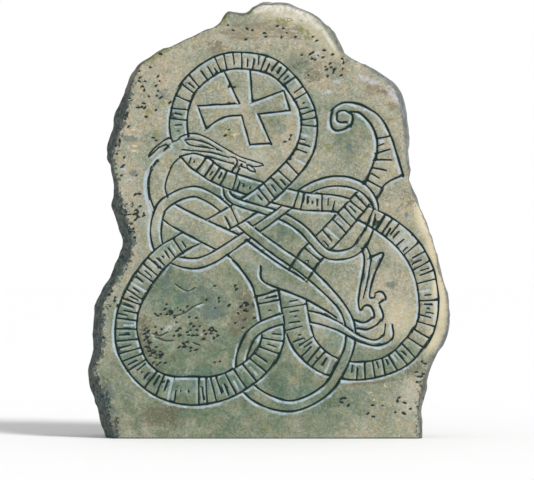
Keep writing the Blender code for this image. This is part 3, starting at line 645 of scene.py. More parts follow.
# ---- the drawing --------------------------------------------------------------------------------
def hip_polygon():
    """The hip's outline, which hides the bands that end under it."""
    return np.concatenate([drawn(HIP_LEFT), drawn(HIP_END),
                           drawn(HIP_SPIRAL[HIP_SPIRAL_OUTSIDE:]), drawn(HIP_RIGHT)[::-1]])


def passes(curve, place, count):
    """How far along a curve it passes a place, for its nearest passes, the latest first."""
    along = lengths_along(curve)
    distance = np.linalg.norm(curve[:, :2] - place, axis=1)
    found = []
    for _ in range(count):
        found.append(along[np.argmin(distance)])
        distance = np.where(np.abs(along - found[-1]) < SAME_PASS, np.inf, distance)
    return sorted(found, reverse=True)


def hidden_points(name, points, along, curves, margin=0.0):
    """Which points of a band, at their distances along it, are hidden by what lies over it."""
    hidden = np.zeros(len(points), dtype=bool)
    if name in UNDER_HIP:
        hidden |= inside(hip_polygon(), points)
    for upper, lower, x, z in CROSSINGS:
        if lower != name:
            continue
        place = np.array((x, z)) * MM
        over = curves[upper]
        if upper == lower:
            above, below = passes(over, place, 2)
        else:
            above, = passes(over, place, 1)
            below, = passes(curves[lower], place, 1)
        run = over[np.abs(lengths_along(over) - above) < CROSSING_RUN]
        distance = np.linalg.norm(points[:, None, :] - run[None, :, :2], axis=2)
        nearest = np.argmin(distance, axis=1)
        covered = distance[np.arange(len(points)), nearest] < run[nearest, 2] / 2 + margin
        hidden |= covered & (np.abs(along - below) < CROSSING_RUN)
    return hidden


def visible_runs(edge, hidden):
    """The parts of an edge that show, each as its own line."""
    ends = np.flatnonzero(np.diff(np.concatenate(([True], hidden, [True]))))
    return [edge[start:end] for start, end in zip(ends[::2], ends[1::2]) if end - start > 1]


def band_edges(curves):
    """The grooves along the bands, where nothing lies over them."""
    lines = []
    for name, curve in curves.items():
        for side in (1, -1):
            edge = curve[:, :2] + side * normals(curve) * curve[:, 2:] / 2
            lines += visible_runs(edge, hidden_points(name, edge, lengths_along(curve), curves))
    return lines


def straight(start, end):
    """A straight cut between two places."""
    return resample(np.array((start, end)), PATH_STEP)


def rune_strokes(curves, chance):
    """Rows of shallow strokes along the bands, in the place of an inscription: no letters.

    Most stand right across their band. Some reach only part of the way, or are dots. Where there
    is room between two of them, a short one stands there by itself.
    """
    strokes = []

    def add(name, curve, along, at, low, high, lean):
        """A stroke across a band: from low to high of its half width, its upper end moved on."""
        ends = []
        for share in (low, high):
            place = at + lean * share
            x, z, width = (np.interp(place, along, column) for column in curve.T)
            nx, nz = (np.interp(place, along, column) for column in normals(curve).T)
            ends.append(np.array((x + nx * share * width / 2, z + nz * share * width / 2)))
        line = straight(*ends)
        if not hidden_points(name, line, np.full(len(line), at), curves, STROKE_MARGIN).any():
            strokes.append(line)

    for name in STROKE_BANDS:
        curve = curves[name]
        along = lengths_along(curve)
        at = STROKE_START
        while at < along[-1] - STROKE_START:
            step = chance.uniform(*STROKE_STEPS)
            lean = chance.uniform(-STROKE_LEAN, STROKE_LEAN)
            low, high = chance.choices(STROKE_KINDS, STROKE_SHARES)[0]
            add(name, curve, along, at, low, high, lean * (high - low > 1))
            if step > TICK_ROOM and chance.random() < TICK_CHANCE:
                low = chance.uniform(*TICK_LOW)
                add(name, curve, along, at + step / 2, low, low + chance.uniform(*TICK_LENGTH),
                    chance.uniform(-TICK_LEAN, TICK_LEAN))
            at += step
    return strokes


def without_doubles(groups):
    """Groups of lines, less the stretches that run right beside a line before them."""
    before = np.empty((0, 4))
    result = []
    for lines in groups:
        kept = []
        for line in lines:
            turns = normals(line)
            away = np.linalg.norm(line[:, None, :2] - before[None, :, :2], axis=2)
            alike = np.abs(turns @ before[:, 2:].T) > DOUBLE_TURN
            doubled = ((away < DOUBLE_GAP) & alike).any(axis=1)
            kept += visible_runs(line, doubled)
            before = np.concatenate((before, np.hstack((line[:, :2], turns))[~doubled][::3]))
        result.append(kept)
    return result


def clear_strokes(strokes, lines):
    """The strokes that no other line runs along or through."""
    tree = tree_of(np.concatenate(lines))

    def is_clear(stroke):
        """Whether the stroke's inner half keeps clear of them, or the whole of a dot."""
        reach = np.linalg.norm(stroke[-1] - stroke[0])
        inner = stroke[len(stroke) // 4:-len(stroke) // 4] if reach > STROKE_CLEAR else stroke
        return all(tree.find((x, z, 0.0))[2] > STROKE_CLEAR for x, z in inner)

    return [stroke for stroke in strokes if is_clear(stroke)]


def pit_lines(chance):
    """Small pits, each a very short leaning cut, sown in patches."""
    lines = []
    for x, z, across, up, count in PITS:
        for _ in range(count):
            middle = MM * np.array((chance.gauss(x, across / PIT_GATHER),
                                    chance.gauss(z, up / PIT_GATHER)))
            if any(np.linalg.norm(line[0] - middle) < PIT_APART for line in lines):
                continue
            turned = math.radians(chance.gauss(*PIT_LEAN))
            reach = chance.uniform(*PIT_REACH)
            step = reach * np.array((math.cos(turned), math.sin(turned)))
            lines.append(straight(middle - step, middle + step))
    return lines


# ---- the surfaces -------------------------------------------------------------------------------
def swells(x, z, waves, seed):
    """Natural unevenness: soft noise in waves of a height and a distance."""
    return sum(height * noise.noise(Vector((x / apart, z / apart, seed)))
               for height, apart in waves)


def front_y(x, z, waves=FRONT_WAVES):
    """The dressed front without its grooves."""
    across = 2 * x / STONE_WIDTH
    up = 2 * z / STONE_HEIGHT - 1
    crown = FRONT_CROWN * (1 - across**2) * (1 - up**2 / 2)
    return -FOOT_THICKNESS / 2 - crown + swells(x, z, waves, FRONT_SEED)


def back_y(x, z, waves=BACK_WAVES):
    """The rough back, which leans in towards the top."""
    thickness = FOOT_THICKNESS + (TOP_THICKNESS - FOOT_THICKNESS) * z / STONE_HEIGHT
    return -FOOT_THICKNESS / 2 + thickness + swells(x, z, waves, BACK_SEED)


def ledges(x, z):
    """How far layers have split off the back, in steps with sharp edges."""
    lost = 0.0
    for height, apart, seed in LEDGES:
        layer = noise.noise(Vector((x / apart, z / apart, seed)))
        lost += height * smoothstep(-LEDGE_EDGE, LEDGE_EDGE, layer)
    return lost


def rim_loops():
    """Lines up one side, over the top and down the other, one behind another, as in the CAD."""
    outline = resample(drawn(OUTLINE), RIM_STEP)
    inward = smoothed(-normals(outline), INWARD_ROUNDS)
    inward[[0, -1], 1] = 0.0

    def along_outline(height, apart, seed):
        """One wave of unevenness, at each point of the outline."""
        return np.array([swells(x, z, ((height, apart),), seed) for x, z, _ in outline])

    def loop(insets, depths):
        """The outline, inset at each point and moved that share of the way to the back."""
        flat = smoothed(outline[:, :2] + inward * insets[:, None], RIM_ROUNDS)
        return np.array([(x, (1 - depth) * front_y(x, z, CAD_FRONT) + depth * back_y(x, z, CAD_BACK),
                          z) for (x, z), depth in zip(flat, depths)])

    rough_seed, wander_seed, back_seed = SIDE_SEEDS
    loops = [loop(outline[:, 2], np.zeros(len(outline)))]
    for number, (share, inset) in enumerate(SIDE_SECTION):
        rough = sum(along_outline(*wave, rough_seed + number) for wave in CAD_SIDES)
        insets = inset + rough * (number > 0)       # the first of them is the outline itself
        wander = along_outline(SIDE_WANDER, EDGE_WANDER, wander_seed + number)
        loops.append(loop(insets, share + wander))
    insets = BACK_BEVEL + along_outline(BACK_BEVEL / 2, EDGE_WANDER, back_seed)
    loops.append(loop(insets, np.ones(len(outline))))
    return np.array(loops)


def with_rows(loops):
    """The loops with more rows between them, from the front to the back."""
    rows = [loops[0]]
    for front, back, count in zip(loops, loops[1:], ROWS_PER_STRIP):
        rows += [front + (back - front) * i / count for i in range(1, count + 1)]
    return np.array(rows)


def grid_normals(grid):
    """Outward unit normals of the sides' grid of points."""
    across = np.cross(np.gradient(grid, axis=1), np.gradient(grid, axis=0))
    return across / np.linalg.norm(across, axis=2)[:, :, None]


def roughened(grid, chance):
    """The sides broken up: lumps in several sizes, then flat scars where flakes were struck off."""
    outward = grid_normals(grid)
    lumps = np.zeros(grid.shape[:2])
    for row in range(grid.shape[0]):
        for column in range(grid.shape[1]):
            place = Vector(grid[row, column])
            for height, apart in SIDE_WAVES:
                lumps[row, column] += height * noise.noise(place / apart + Vector(SIDE_OFFSET))
            ridge = 0.5 - abs(noise.noise(place / RIDGE_SIZE)) ** RIDGE_SHARP
            lumps[row, column] += RIDGE_DEPTH * ridge
    calm = np.interp(np.arange(len(grid)), CALM_ROWS, CALM_SHARES)[:, None]
    before_back = 1 - smoothstep(*ROUGHER_BEHIND, np.linspace(0.0, 1.0, len(grid)))[:, None]
    rougher = 1 + WEST_ROUGHER * before_back * smoothstep(*ROUGHER_FACING, -outward[:, :, 0])
    fuller = SIDE_FULLER * np.interp(np.arange(len(grid)), *FULLER_ROWS)[:, None]
    grid = grid + outward * (lumps * calm * rougher + fuller)[:, :, None]
    for _ in range(SCARS):
        row = min(int(abs(chance.gauss(0, SCAR_SPREAD)) * grid.shape[0]), grid.shape[0] - 2)
        column = chance.randrange(SCAR_MARGIN, grid.shape[1] - SCAR_MARGIN)
        middle = grid[row, column].copy()
        tilt = np.array([chance.gauss(0, SCAR_TILT) for _ in range(3)])
        facing = outward[max(row, SCAR_ROW), column] + tilt
        facing /= np.linalg.norm(facing)
        reach = chance.uniform(*SCAR_REACH) * (1 + SCAR_GROWTH * calm[row, 0])
        middle -= facing * reach * SCAR_BITE * calm[row, 0]
        proud = (grid - middle) @ facing
        away = np.linalg.norm(grid - middle, axis=2)
        share = calm * (1 - smoothstep(SCAR_EDGE * reach, reach, away))
        grid = grid - facing * (np.maximum(proud, 0) * share)[:, :, None]
    grid[:, [0, -1], 2] = 0.0
    grid[:, :, 2] = np.maximum(grid[:, :, 2], 0.0)
    return grid


# ---- where the front has its points -------------------------------------------------------------
def hexagonal(shape, cell):
    """A field of points over a shape, in rows that are each shifted by half a cell."""
    low, high = shape.min(axis=0), shape.max(axis=0)
    points = []
    for row in range(math.ceil((high[1] - low[1]) / (cell * math.sqrt(3) / 2))):
        z = low[1] + row * cell * math.sqrt(3) / 2
        xs = np.arange(low[0] + (row % 2) * cell / 2, high[0], cell)
        points += [(x, z) for x in xs]
    return np.array(points)


def spaced(candidates, taken, gap):
    """The candidates that keep a gap from the points taken and from each other."""
    cells = {}
    chosen = []

    def cell_of(x, z):
        """The square, as wide as the gap, that a place lies in."""
        return int(x // gap), int(z // gap)

    for point in taken:
        cells.setdefault(cell_of(*point), []).append(point)
    for x, z in candidates:
        column, row = cell_of(x, z)
        others = [other for i in (column, column - 1, column + 1)
                  for j in (row, row - 1, row + 1) for other in cells.get((i, j), ())]
        if all((x - other[0]) ** 2 + (z - other[1]) ** 2 >= gap * gap for other in others):
            cells.setdefault((column, row), []).append((x, z))
            chosen.append((x, z))
    return chosen


def border_line(border):
    """A closed border as a fine line of points."""
    closed = np.array(list(border) + list(border[:1]))
    return np.concatenate([resample(np.array(pair), PATH_STEP)
                           for pair in zip(closed, closed[1:])])


def clear_of(border, points, gap):
    """The points inside a border that keep a gap from it."""
    points = np.asarray(points)
    points = points[inside(np.array(border), points)]
    return points[distance_to(points, border_line(border)) > gap]


def front_points(border, cuts):
    """Points on the front: along the bottoms, flanks and lips of the cuts, and a field between."""
    chosen = []
    for share, gap in CUT_POINTS:
        for lines, half, *_ in cuts:
            candidates = []
            for line in lines:
                run = resample(line, GROOVE_STEP)
                for side in (1, -1) if share else (0,):
                    candidates.append(run + side * share * half * normals(run))
                if share:
                    for end, before in ((run[0], run[1]), (run[-1], run[-2])):
                        on = (end - before) / np.linalg.norm(end - before)
                        candidates.append((end + on * share * half)[None, :])
            candidates = clear_of(border, np.concatenate(candidates), BORDER_GAP)
            chosen += spaced(candidates, list(border) + chosen, gap * half)
    field = clear_of(border, hexagonal(np.array(border), CELL), BORDER_GAP)
    return chosen + spaced(field, list(border) + chosen, CELL * FIELD_GAP)


def carving(points, cuts):
    """What the cuts do at each point: depth, nearness, the side of the cut, painted shade and painted
    highlight.
    """
    depth, near, across, dark, pale = np.zeros((5, len(points)))
    for lines, half, deep, shade_paint, highlight_paint, spread in cuts:
        runs = [resample(line, PATH_STEP) for line in lines]
        samples = np.concatenate(runs)
        lefts = np.concatenate([normals(run) for run in runs])
        leans = np.clip(lefts @ np.array(LIGHT_FROM) * LIGHT_LEAN, -1.0, 1.0)
        tree = tree_of(samples)
        for i, (x, z) in enumerate(points):
            place, index, away = tree.find((x, z, 0.0))
            if away > CUT_LIMIT * half:
                continue
            away /= 1 + LINE_WANDER * noise.noise(Vector((place.x, place.y, half)) / LINE_WAVE)
            lean = leans[index]
            aside = (x - place.x) * lefts[index][0] + (z - place.y) * lefts[index][1]
            depth[i] = max(depth[i], deep * (1 - away / half))
            here = 1 - away / (CUT_REACH * half)
            side = lean * aside / half + spread * max(0.0, 1 - away / half)
            if min(here, near[i]) > DARK_FROM:      # two cuts share this place: the darker shows
                near[i] = max(here, near[i])
                across[i] = max(side, across[i])
            elif here > near[i]:
                near[i], across[i], dark[i], pale[i] = here, side, shade_paint, highlight_paint
    return depth, near, across, dark, pale


def masks_of_stains_and_light(points):
    """How strongly each kind of stain, tone or painted light lies at each point, fading out from its
    middle.
    """
    masks = {}
    for kind, patches in STAINS_AND_PAINTED_LIGHT.items():
        mask = np.zeros(len(points))
        for x, z, along, over, turned, strength in patches:
            offset = points - np.array((x, z)) * MM
            cos, sin = math.cos(math.radians(turned)), math.sin(math.radians(turned))
            u = (offset[:, 0] * cos + offset[:, 1] * sin) / (along * MM)
            v = (offset[:, 1] * cos - offset[:, 0] * sin) / (over * MM)
            away = np.sqrt(u * u + v * v)
            mask = np.maximum(mask, strength * (1 - smoothstep(*PATCH_FADE, away)))
        masks[kind] = mask
    return masks


# ---- the mesh -----------------------------------------------------------------------------------
def in_scene(name, data):
    """A new object in the scene."""
    item = bpy.data.objects.new(name, data)
    bpy.context.scene.collection.objects.link(item)
    return item


class Surface:
    """Corners and faces of the stone as they are made, with a place for each in the bake."""

    def __init__(self):
        self.corners = []
        self.faces = []
        self.unwrapped = []

    def add(self, points):
        """New corners; the numbers they get."""
        start = len(self.corners)
        self.corners += [tuple(point) for point in points]
        return list(range(start, len(self.corners)))

    def from_front(self, numbers):
        """Where corners lie, seen from the front."""
        return [(self.corners[i][0], self.corners[i][2]) for i in numbers]

    def fill(self, border, flat_border, room, inner=(), flat_inner=()):
        """Triangles between a border's corners and inner ones, laid out by their flat positions."""
        numbers = list(border) + list(inner)
        flat = np.array(list(flat_border) + list(flat_inner))
        edges = [(i, (i + 1) % len(border)) for i in range(len(border))]
        verts, _, faces, *_ = delaunay_2d_cdt([Vector(p) for p in flat], edges, [], 1, SAME_POINT)
        if len(verts) != len(numbers):
            raise ValueError("a border crosses itself")
        low, high = flat.min(axis=0), flat.max(axis=0)
        (u0, v0), (u1, v1) = room
        spots = (flat - low) / (high - low) * (u1 - u0, v1 - v0) + (u0, v0)
        for face in faces:
            self.faces.append([numbers[i] for i in face])
            self.unwrapped.append([spots[i] for i in face])


def ground_line(left, right, y_of):
    """Points along the ground between two others."""
    count = round((right[0] - left[0]) / BACK_CELL)
    return [(x, y_of(x, 0.0), 0.0) for x in np.linspace(left[0], right[0], count + 1)[1:-1]]


def add_sides(surface, grid):
    """The broken sides, as two triangles between each four corners; the corners' numbers."""
    rows, columns = grid.shape[:2]
    numbers = np.array([surface.add(row) for row in grid])
    (u0, v0), (u1, v1) = SIDES_ROOM
    us, vs = np.linspace(u0, u1, columns), np.linspace(v0, v1, rows)
    for i in range(rows - 1):
        for j in range(columns - 1):
            ring = ((i, j), (i, j + 1), (i + 1, j + 1), (i + 1, j))
            for triple in ((ring[0], ring[1], ring[2]), (ring[0], ring[2], ring[3])):
                surface.faces.append([numbers[place] for place in triple])
                surface.unwrapped.append([(us[place[1]], vs[place[0]]) for place in triple])
    return numbers


def front_cuts(curves, chance):
    """Everything cut into the front: lines of one kind, then what such a cut is like. Pits last."""
    edges = band_edges(curves)
    lines, bold, fine, cracks, wing = (
        [drawn(points) for points in group]
        for group in (LINES, BOLD_LINES, FINE_LINES, CRACKS, WING_STROKES))
    edges, lines, bold = without_doubles((edges, lines, bold))
    strokes, worn = [], []
    for stroke in clear_strokes(rune_strokes(curves, chance), edges + lines + bold):
        (worn if chance.random() < WORN_SHARE else strokes).append(stroke)
    return ((edges, *LINE_CUT), (lines, *LINE_CUT), (bold, *BOLD_CUT), (fine, *FINE_CUT),
            (strokes + wing, *STROKE_CUT), (worn, *WORN_CUT), ([drawn(NECK_LIT_RUN)], *HIGHLIGHT_CUT),
            (cracks, *CRACK_CUT), (pit_lines(chance), *PIT_CUT))


def add_front(surface, border_numbers, cuts):
    """The front; its corners' numbers, where they lie, and what the cuts paint on them."""
    border = surface.from_front(border_numbers)
    flat = np.array(front_points(border, cuts))
    depth, *marks = carving(flat, cuts)
    flakes = np.array([noise.noise(Vector((x / FLAKE_SIZE, z / FLAKE_SIZE, FLAKE_SEED)))
                       for x, z in flat])
    depth += FLAKE_DEPTH * smoothstep(*FLAKE_FROM, flakes)
    inner = surface.add((x, front_y(x, z) + deep, z) for (x, z), deep in zip(flat, depth))
    surface.fill(border_numbers, border, FRONT_ROOM, inner, flat)
    return inner, flat, marks


def add_back(surface, border_numbers):
    """The back; its corners' numbers."""
    border = surface.from_front(border_numbers)
    field = clear_of(border, hexagonal(np.array(border), BACK_CELL), BACK_CELL * BACK_RIM_GAP)
    flat = spaced(field, border, BACK_CELL / 2)
    inner = surface.add((x, back_y(x, z) - ledges(x, z), z) for x, z in flat)
    surface.fill(border_numbers, border, BACK_ROOM, inner, flat)
    return inner


def side_colours(grid):
    """How strong the left side's painted shade and the right side's blue-grey are at the sides'
    corners.
    """
    facing, height = grid_normals(grid)[:, :, 0], grid[:, :, 2]
    west_shade = smoothstep(*WEST_FACING, -facing) * (1 - smoothstep(*WEST_TOP, height))
    east = smoothstep(*EAST_FACING, facing)
    foot = 1 - smoothstep(*EAST_FOOT, height)
    return np.maximum(west_shade, EAST_FOOT_DARK * east * foot), east * (1 - EAST_FOOT_LOSS * foot)


def stone_surface(curves, chance):
    """The whole slab: its surface, and what is painted on its corners."""
    surface = Surface()
    grid = roughened(with_rows(rim_loops()), chance)
    numbers = add_sides(surface, grid)
    front_ground = surface.add(ground_line(grid[0, 0], grid[0, -1], front_y))
    back_ground = surface.add(ground_line(grid[-1, 0], grid[-1, -1], back_y))
    cuts = front_cuts(curves, chance)
    inner, flat, marks = add_front(surface, list(numbers[0][::-1]) + front_ground, cuts)
    back = add_back(surface, list(numbers[-1][::-1]) + back_ground)
    base = ([numbers[0][0]] + front_ground + list(numbers[:, -1])
            + back_ground[::-1] + list(numbers[1:, 0][::-1]))
    surface.fill(base, [surface.corners[i][:2] for i in base], BASE_ROOM)

    blank = np.zeros(len(surface.corners))
    paint = {name: blank.copy() for name in ("near", "across", "dark", "lit_flank_highlight", "face", "west_shade",
                                             "east", "behind")}
    for name, values in zip(("near", "across", "dark", "lit_flank_highlight"), marks):
        paint[name][inner] = values
    paint["face"][inner] = 1.0
    rim = tree_of(grid[0][:, [0, 2]])
    for name, share in zip(("west_shade", "east"), side_colours(grid)):
        paint[name][numbers.ravel()] = share.ravel()
        for number, (x, z) in zip(inner, flat):
            _, column, away = rim.find((x, z, 0.0))
            paint[name][number] = share[RIM_ROW, column] * max(0.0, 1 - away / RIM_RUN)
    on_front = paint["face"].copy()
    on_front[numbers[:ROWS_PER_STRIP[0] + 1].ravel()] = 1.0
    everywhere = np.array(surface.corners)[:, [0, 2]]
    paint.update((kind, mask * on_front) for kind, mask in masks_of_stains_and_light(everywhere).items())
    near_pits = 1 - smoothstep(*PIT_STAIN, distance_to(flat, np.concatenate(cuts[-1][0])))
    paint["brown"][inner] = np.maximum(paint["brown"][inner], PIT_BROWN * near_pits)
    paint["behind"][numbers.ravel()] = np.repeat(np.linspace(0.0, 1.0, len(grid)), grid.shape[1])
    paint["behind"][back] = 1.0
    return surface, paint


def placed(corners):
    """The corners where the CAD model stands, as thick as it from front to back."""
    corners = np.array(corners)
    low, high = corners[:, 1].min(), corners[:, 1].max()
    corners[:, 1] = LOW[1] + (corners[:, 1] - low) / (high - low) * (HIGH[1] - LOW[1])
    outline = drawn(OUTLINE)[:, 0]
    corners[:, 0] += (LOW[0] + HIGH[0]) / 2 - (outline.min() + outline.max()) / 2
    corners[:, 2] += LOW[2]
    return corners


def stone_object(material):
    """The finished stone."""
    chance = random.Random(SEED)
    curves = {name: drawn(points) for name, points in BANDS.items()}
    surface, paint = stone_surface(curves, chance)
    data = bpy.data.meshes.new("rune_stone_carved")
    data.from_pydata(placed(surface.corners).tolist(), [], surface.faces)
    unwrapped = data.uv_layers.new(name="OFBake")
    unwrapped.data.foreach_set("uv", np.array(surface.unwrapped, dtype=np.float32).ravel())
    mesh = bmesh.new()
    mesh.from_mesh(data)
    bmesh.ops.recalc_face_normals(mesh, faces=mesh.faces)
    mesh.to_mesh(data)
    mesh.free()
    for name, values in paint.items():
        layer = data.attributes.new(name, "FLOAT", "POINT")
        layer.data.foreach_set("value", values.astype(np.float32))
    data.shade_smooth()
    data.materials.append(material)
    return in_scene("rune_stone_carved", data)


# ---- the granite --------------------------------------------------------------------------------
class Nodes:
    """A short way to write a material's nodes. A value is a number, a colour or a socket."""

    def __init__(self, name):
        self.material = bpy.data.materials.new(name)
        self.material.use_nodes = True
        self.tree = self.material.node_tree
        self.shader = self.tree.nodes["Principled BSDF"]
        self.place = self.add("ShaderNodeTexCoord").outputs["Object"]

    def add(self, kind, **settings):
        """A new node."""
        node = self.tree.nodes.new(kind)
        for key, value in settings.items():
            setattr(node, key, value)
        return node

    def put(self, socket, value):
        """Gives a value to a socket."""
        if isinstance(value, bpy.types.NodeSocket):
            self.tree.links.new(value, socket)
        elif isinstance(value, tuple) and len(socket.default_value) == 4:
            socket.default_value = (*value, 1.0)
        else:
            socket.default_value = value

    def attribute(self, name):
        """What is painted on the mesh under a name."""
        return self.add("ShaderNodeAttribute", attribute_name=name).outputs["Fac"]

    def noise(self, fineness, detail=2.0, rough=0.5, warp=0.0, offset=(0, 0, 0), scale=(1, 1, 1),
              turn=0.0):
        """Cloudy noise about 0.5, moved, stretched, and turned in the plane of the front."""
        moved = self.add("ShaderNodeMapping")
        self.put(moved.inputs["Vector"], self.place)
        node = self.add("ShaderNodeTexNoise")
        self.put(node.inputs["Vector"], moved.outputs["Vector"])
        for item, key, value in ((moved, "Location", offset), (moved, "Rotation", (0.0, turn, 0.0)),
                                 (moved, "Scale", scale), (node, "Scale", fineness),
                                 (node, "Detail", detail), (node, "Roughness", rough),
                                 (node, "Distortion", warp)):
            item.inputs[key].default_value = value
        return node.outputs["Fac"]

    def crystals(self, fineness):
        """Small cells, each with three random tones of its own."""
        node = self.add("ShaderNodeTexVoronoi")
        self.put(node.inputs["Vector"], self.place)
        node.inputs["Scale"].default_value = fineness
        tones = self.add("ShaderNodeSeparateColor")
        self.put(tones.inputs["Color"], node.outputs["Color"])
        return tones.outputs

    def ramp(self, value, low, high, start=0.0, end=1.0):
        """A smooth step of a value, from start at low to end at high."""
        node = self.add("ShaderNodeMapRange", interpolation_type="SMOOTHSTEP")
        self.put(node.inputs["Value"], value)
        for key, number in (("From Min", low), ("From Max", high), ("To Min", start),
                            ("To Max", end)):
            self.put(node.inputs[key], number)
        return node.outputs["Result"]

    def math(self, operation, *values):
        """The result of a Math node."""
        node = self.add("ShaderNodeMath", operation=operation)
        for socket, value in zip(node.inputs, values):
            self.put(socket, value)
        return node.outputs["Value"]

    def times(self, *values):
        """The product of the values."""
        result = values[0]
        for value in values[1:]:
            result = self.math("MULTIPLY", result, value)
        return result

    def mix(self, share, first, second, blend="MIX"):
        """The first colour with a share of the second laid over it."""
        node = self.add("ShaderNodeMix", data_type="RGBA", blend_type=blend)
        colours = [socket for socket in node.inputs if socket.type == "RGBA"]
        for socket, value in zip((node.inputs["Factor"], *colours), (share, first, second)):
            self.put(socket, value)
        return next(socket for socket in node.outputs if socket.type == "RGBA")

    def patches(self, texture, moves, spread):
        """Noise as patches with plain stone between them."""
        return self.ramp(self.noise(*texture, **moves), *spread)

    def layers(self, colour, rows):
        """The colour with patches laid over it, row after row."""
        for texture, moves, spread, tint, blend in rows:
            colour = self.mix(self.patches(texture, moves, spread), colour, tint, blend)
        return colour


def stained_and_lit(n, colour, ragged, fine_ragged):
    """The stone with its damp and cool areas, its lighter ones (partly painted light along the top and
    the right edge), its stains and its growths.
    """
    for kind, texture, spread, tint, blend in TONE_AND_LIGHT_AREAS:
        share = n.times(n.attribute(kind), n.patches(texture, {}, spread))
        colour = n.mix(share, colour, tint, blend)
    textures = {"ragged": ragged, "fine": fine_ragged, "streaky": n.patches(*STREAKY)}
    for kind, tint, share, texture, full in GROWTHS:
        mask = n.attribute(kind)
        spread = n.math("MULTIPLY_ADD", mask, STAIN_SPREAD, textures[texture])
        cover = n.ramp(spread, STAIN_FROM, full)
        colour = n.mix(n.times(cover, n.ramp(mask, *STAIN_RIM), share), colour, tint)
    return colour


def broken_sides(n, colour, ragged, fine_ragged):
    """The sides: grey, with painted shade blotched near black to the left and blue-grey to the right,
    more so near the front, with a dark edge round it."""
    west_shade, east, behind = n.attribute("west_shade"), n.attribute("east"), n.attribute("behind")
    side = n.math("SUBTRACT", 1.0, n.attribute("face"))
    texture, moves = BLOTCHES
    blotches = n.noise(*texture, **moves)
    colour = n.mix(n.times(side, n.patches(*SIDE_PATCHES)), colour, SIDE_GREY)

    east_colour = n.mix(n.patches(*EAST_STREAKS), EAST_DARK, EAST_GREY)
    east_cover = n.times(east, side, n.ramp(behind, *EAST_BEHIND), n.ramp(blotches, *EAST_BLOTCHES))
    colour = n.mix(east_cover, colour, east_colour)

    # The left side's painted shade: near black, blotched, with brown in it.
    west_colour = n.mix(n.ramp(blotches, *WEST_BLOTCHES), WEST_SHADE_DARK, WEST_SHADE_MID)
    west_colour = n.layers(west_colour, (WEST_LAYER,))
    patchy = n.times(n.math("SUBTRACT", n.math("ADD", ragged, fine_ragged), 1.0),
                     n.ramp(behind, *NEAR_RIM, *NEAR_RAGGED))
    west_side = n.times(west_shade, n.ramp(behind, *WEST_BEHIND))
    west_cover = n.ramp(n.math("ADD", west_side, patchy), n.ramp(behind, *NEAR_RIM, *NEAR_LOW),
                        n.ramp(behind, *NEAR_RIM, *NEAR_FULL))
    west_cover = n.times(n.ramp(west_shade, *WEST_ONSET), west_cover, WEST_SHARE)
    colour = n.mix(west_cover, colour, west_colour)

    other_sides = n.math("SUBTRACT", 1.0, n.math("MAXIMUM", east, n.times(west_shade, EDGE_WEST)))
    edge = n.times(side, n.ramp(behind, *EDGE_BEHIND), other_sides, n.patches(*EDGE_PATCHES))
    return n.mix(edge, colour, EDGE_DARK)


def painted_cuts(n, colour):
    """The cuts: painted shade in the flank that faces away from the light, a painted highlight along
    the one that faces it.
    """
    near, across, strength = n.attribute("near"), n.attribute("across"), n.attribute("dark")
    waver = n.math("MULTIPLY_ADD", n.noise(*PAINT_WAVER), PAINT_SHIFT, -PAINT_SHIFT / 2)
    across = n.math("ADD", across, n.times(waver, n.ramp(near, *PAINT_ONSET)))
    inward = n.math("SUBTRACT", near, n.patches(*PALE_END))
    pale = n.times(n.ramp(inward, *PALE_FADE), n.ramp(across, *PALE_ACROSS),
                   n.attribute("lit_flank_highlight"), n.patches(*HIGHLIGHT_BREAKS))
    colour = n.mix(pale, colour, LIT_FLANK_PAINT)
    dark = n.times(n.ramp(near, *DARK_NEAR), n.ramp(across, *DARK_ACROSS), strength)
    return n.mix(dark, colour, n.mix(n.ramp(strength, *SHADE_PAINT_STRENGTH), PIT_SHADE_PAINT, SHADED_FLANK_PAINT))


def granite():
    """Weathered granite: beige, blotched grey-green and pink, stained, with growths on it."""
    n = Nodes("granite_weathered")
    ragged = n.patches(*RAGGED)
    fine_ragged = n.patches(*FINE_RAGGED)
    tones = n.crystals(CRYSTALS)

    colour = n.layers(BEIGE, GROUND_LAYERS)
    colour = n.mix(n.times(n.attribute("pink"), PINK_SHARE), colour, PINKISH)
    colour = n.layers(colour, FINE_LAYERS)
    colour = n.mix(n.ramp(tones["Red"], *DARK_CRYSTALS), colour, DARK_GRAIN)
    colour = n.mix(n.ramp(tones["Green"], *PALE_CRYSTALS), colour, PALE_GRAIN)
    colour = n.layers(colour, (BROWN_LAYER,))
    colour = stained_and_lit(n, colour, ragged, fine_ragged)
    colour = broken_sides(n, colour, ragged, fine_ragged)
    n.put(n.shader.inputs["Base Color"], painted_cuts(n, colour))

    polish = n.math("ADD", n.noise(*POLISH), n.times(tones["Red"], POLISH_CRYSTALS))
    n.put(n.shader.inputs["Roughness"], n.ramp(polish, *ROUGHNESS))
    n.shader.inputs["Specular IOR Level"].default_value = SHEEN

    # Fine relief that is too small for the mesh.
    grain, ragged_share, low_share = RELIEF_SHARES
    height = n.math("ADD", n.times(n.noise(*RELIEF), grain), n.times(fine_ragged, ragged_share))
    height = n.math("SUBTRACT", height, n.times(n.ramp(tones["Blue"], *LOW_CRYSTALS), low_share))
    bump = n.add("ShaderNodeBump")
    bump.inputs["Distance"].default_value = BUMP_HEIGHT
    bump.inputs["Strength"].default_value = BUMP_STRENGTH
    n.put(bump.inputs["Height"], height)
    n.put(n.shader.inputs["Normal"], bump.outputs["Normal"])
    return n.material


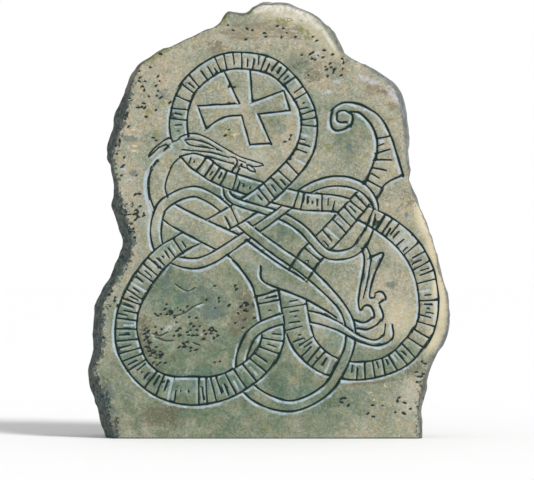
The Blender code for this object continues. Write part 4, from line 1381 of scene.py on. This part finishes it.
# ---- the studio ---------------------------------------------------------------------------------
def key_light():
    """A large soft light, high on the right."""
    data = bpy.data.lights.new("key", "SUN")
    data.energy = KEY_POWER
    data.angle = math.radians(KEY_SOFTNESS)
    in_scene("key", data).rotation_euler = Vector(KEY_DIRECTION).to_track_quat("Z", "Y").to_euler()


def floor():
    """A wide pale floor."""
    mesh = bmesh.new()
    bmesh.ops.create_circle(mesh, cap_ends=True, radius=FLOOR_RADIUS, segments=FLOOR_SIDES)
    data = bpy.data.meshes.new("studio_floor")
    mesh.to_mesh(data)
    mesh.free()
    material = bpy.data.materials.new("studio_floor_pale")
    material.use_nodes = True
    shader = material.node_tree.nodes["Principled BSDF"]
    shader.inputs["Base Color"].default_value = FLOOR_COLOUR
    shader.inputs["Roughness"].default_value = FLOOR_ROUGHNESS
    data.materials.append(material)
    plane = in_scene("studio_floor", data)
    plane.location.z = LOW[2] - FLOOR_GAP
    return plane


def world():
    """Even light all round, and a white background behind."""
    surroundings = bpy.data.worlds.new("studio")
    surroundings.use_nodes = True
    tree = surroundings.node_tree
    background = tree.nodes["Background"]
    background.inputs["Color"].default_value = (1, 1, 1, 1)
    rays = tree.nodes.new("ShaderNodeLightPath")
    strength = tree.nodes.new("ShaderNodeMapRange")
    strength.inputs["To Min"].default_value = AMBIENT
    strength.inputs["To Max"].default_value = BACKDROP
    tree.links.new(rays.outputs["Is Camera Ray"], strength.inputs["Value"])
    tree.links.new(strength.outputs["Result"], background.inputs["Strength"])
    bpy.context.scene.world = surroundings


def camera():
    """A long lens in front of the stone."""
    data = bpy.data.cameras.new("camera")
    data.sensor_width = SENSOR
    data.lens = SENSOR * CAMERA_AWAY / VIEW_WIDTH
    data.clip_end = FAR_CLIP
    item = in_scene("camera", data)
    centre = Vector(((LOW[0] + HIGH[0]) / 2 + VIEW_SHIFT, LOW[1], LOW[2] + VIEW_HEIGHT))
    rise = math.radians(CAMERA_ELEVATION)
    item.location = centre + CAMERA_AWAY * Vector((0, -math.cos(rise), math.sin(rise)))
    item.rotation_euler = (math.radians(90) - rise, 0, 0)
    bpy.context.scene.camera = item


stone = stone_object(granite())
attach(stone, "root")
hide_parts("rune_stone")
floor()
world()
key_light()
camera()
bpy.context.scene.view_settings.view_transform = "Standard"
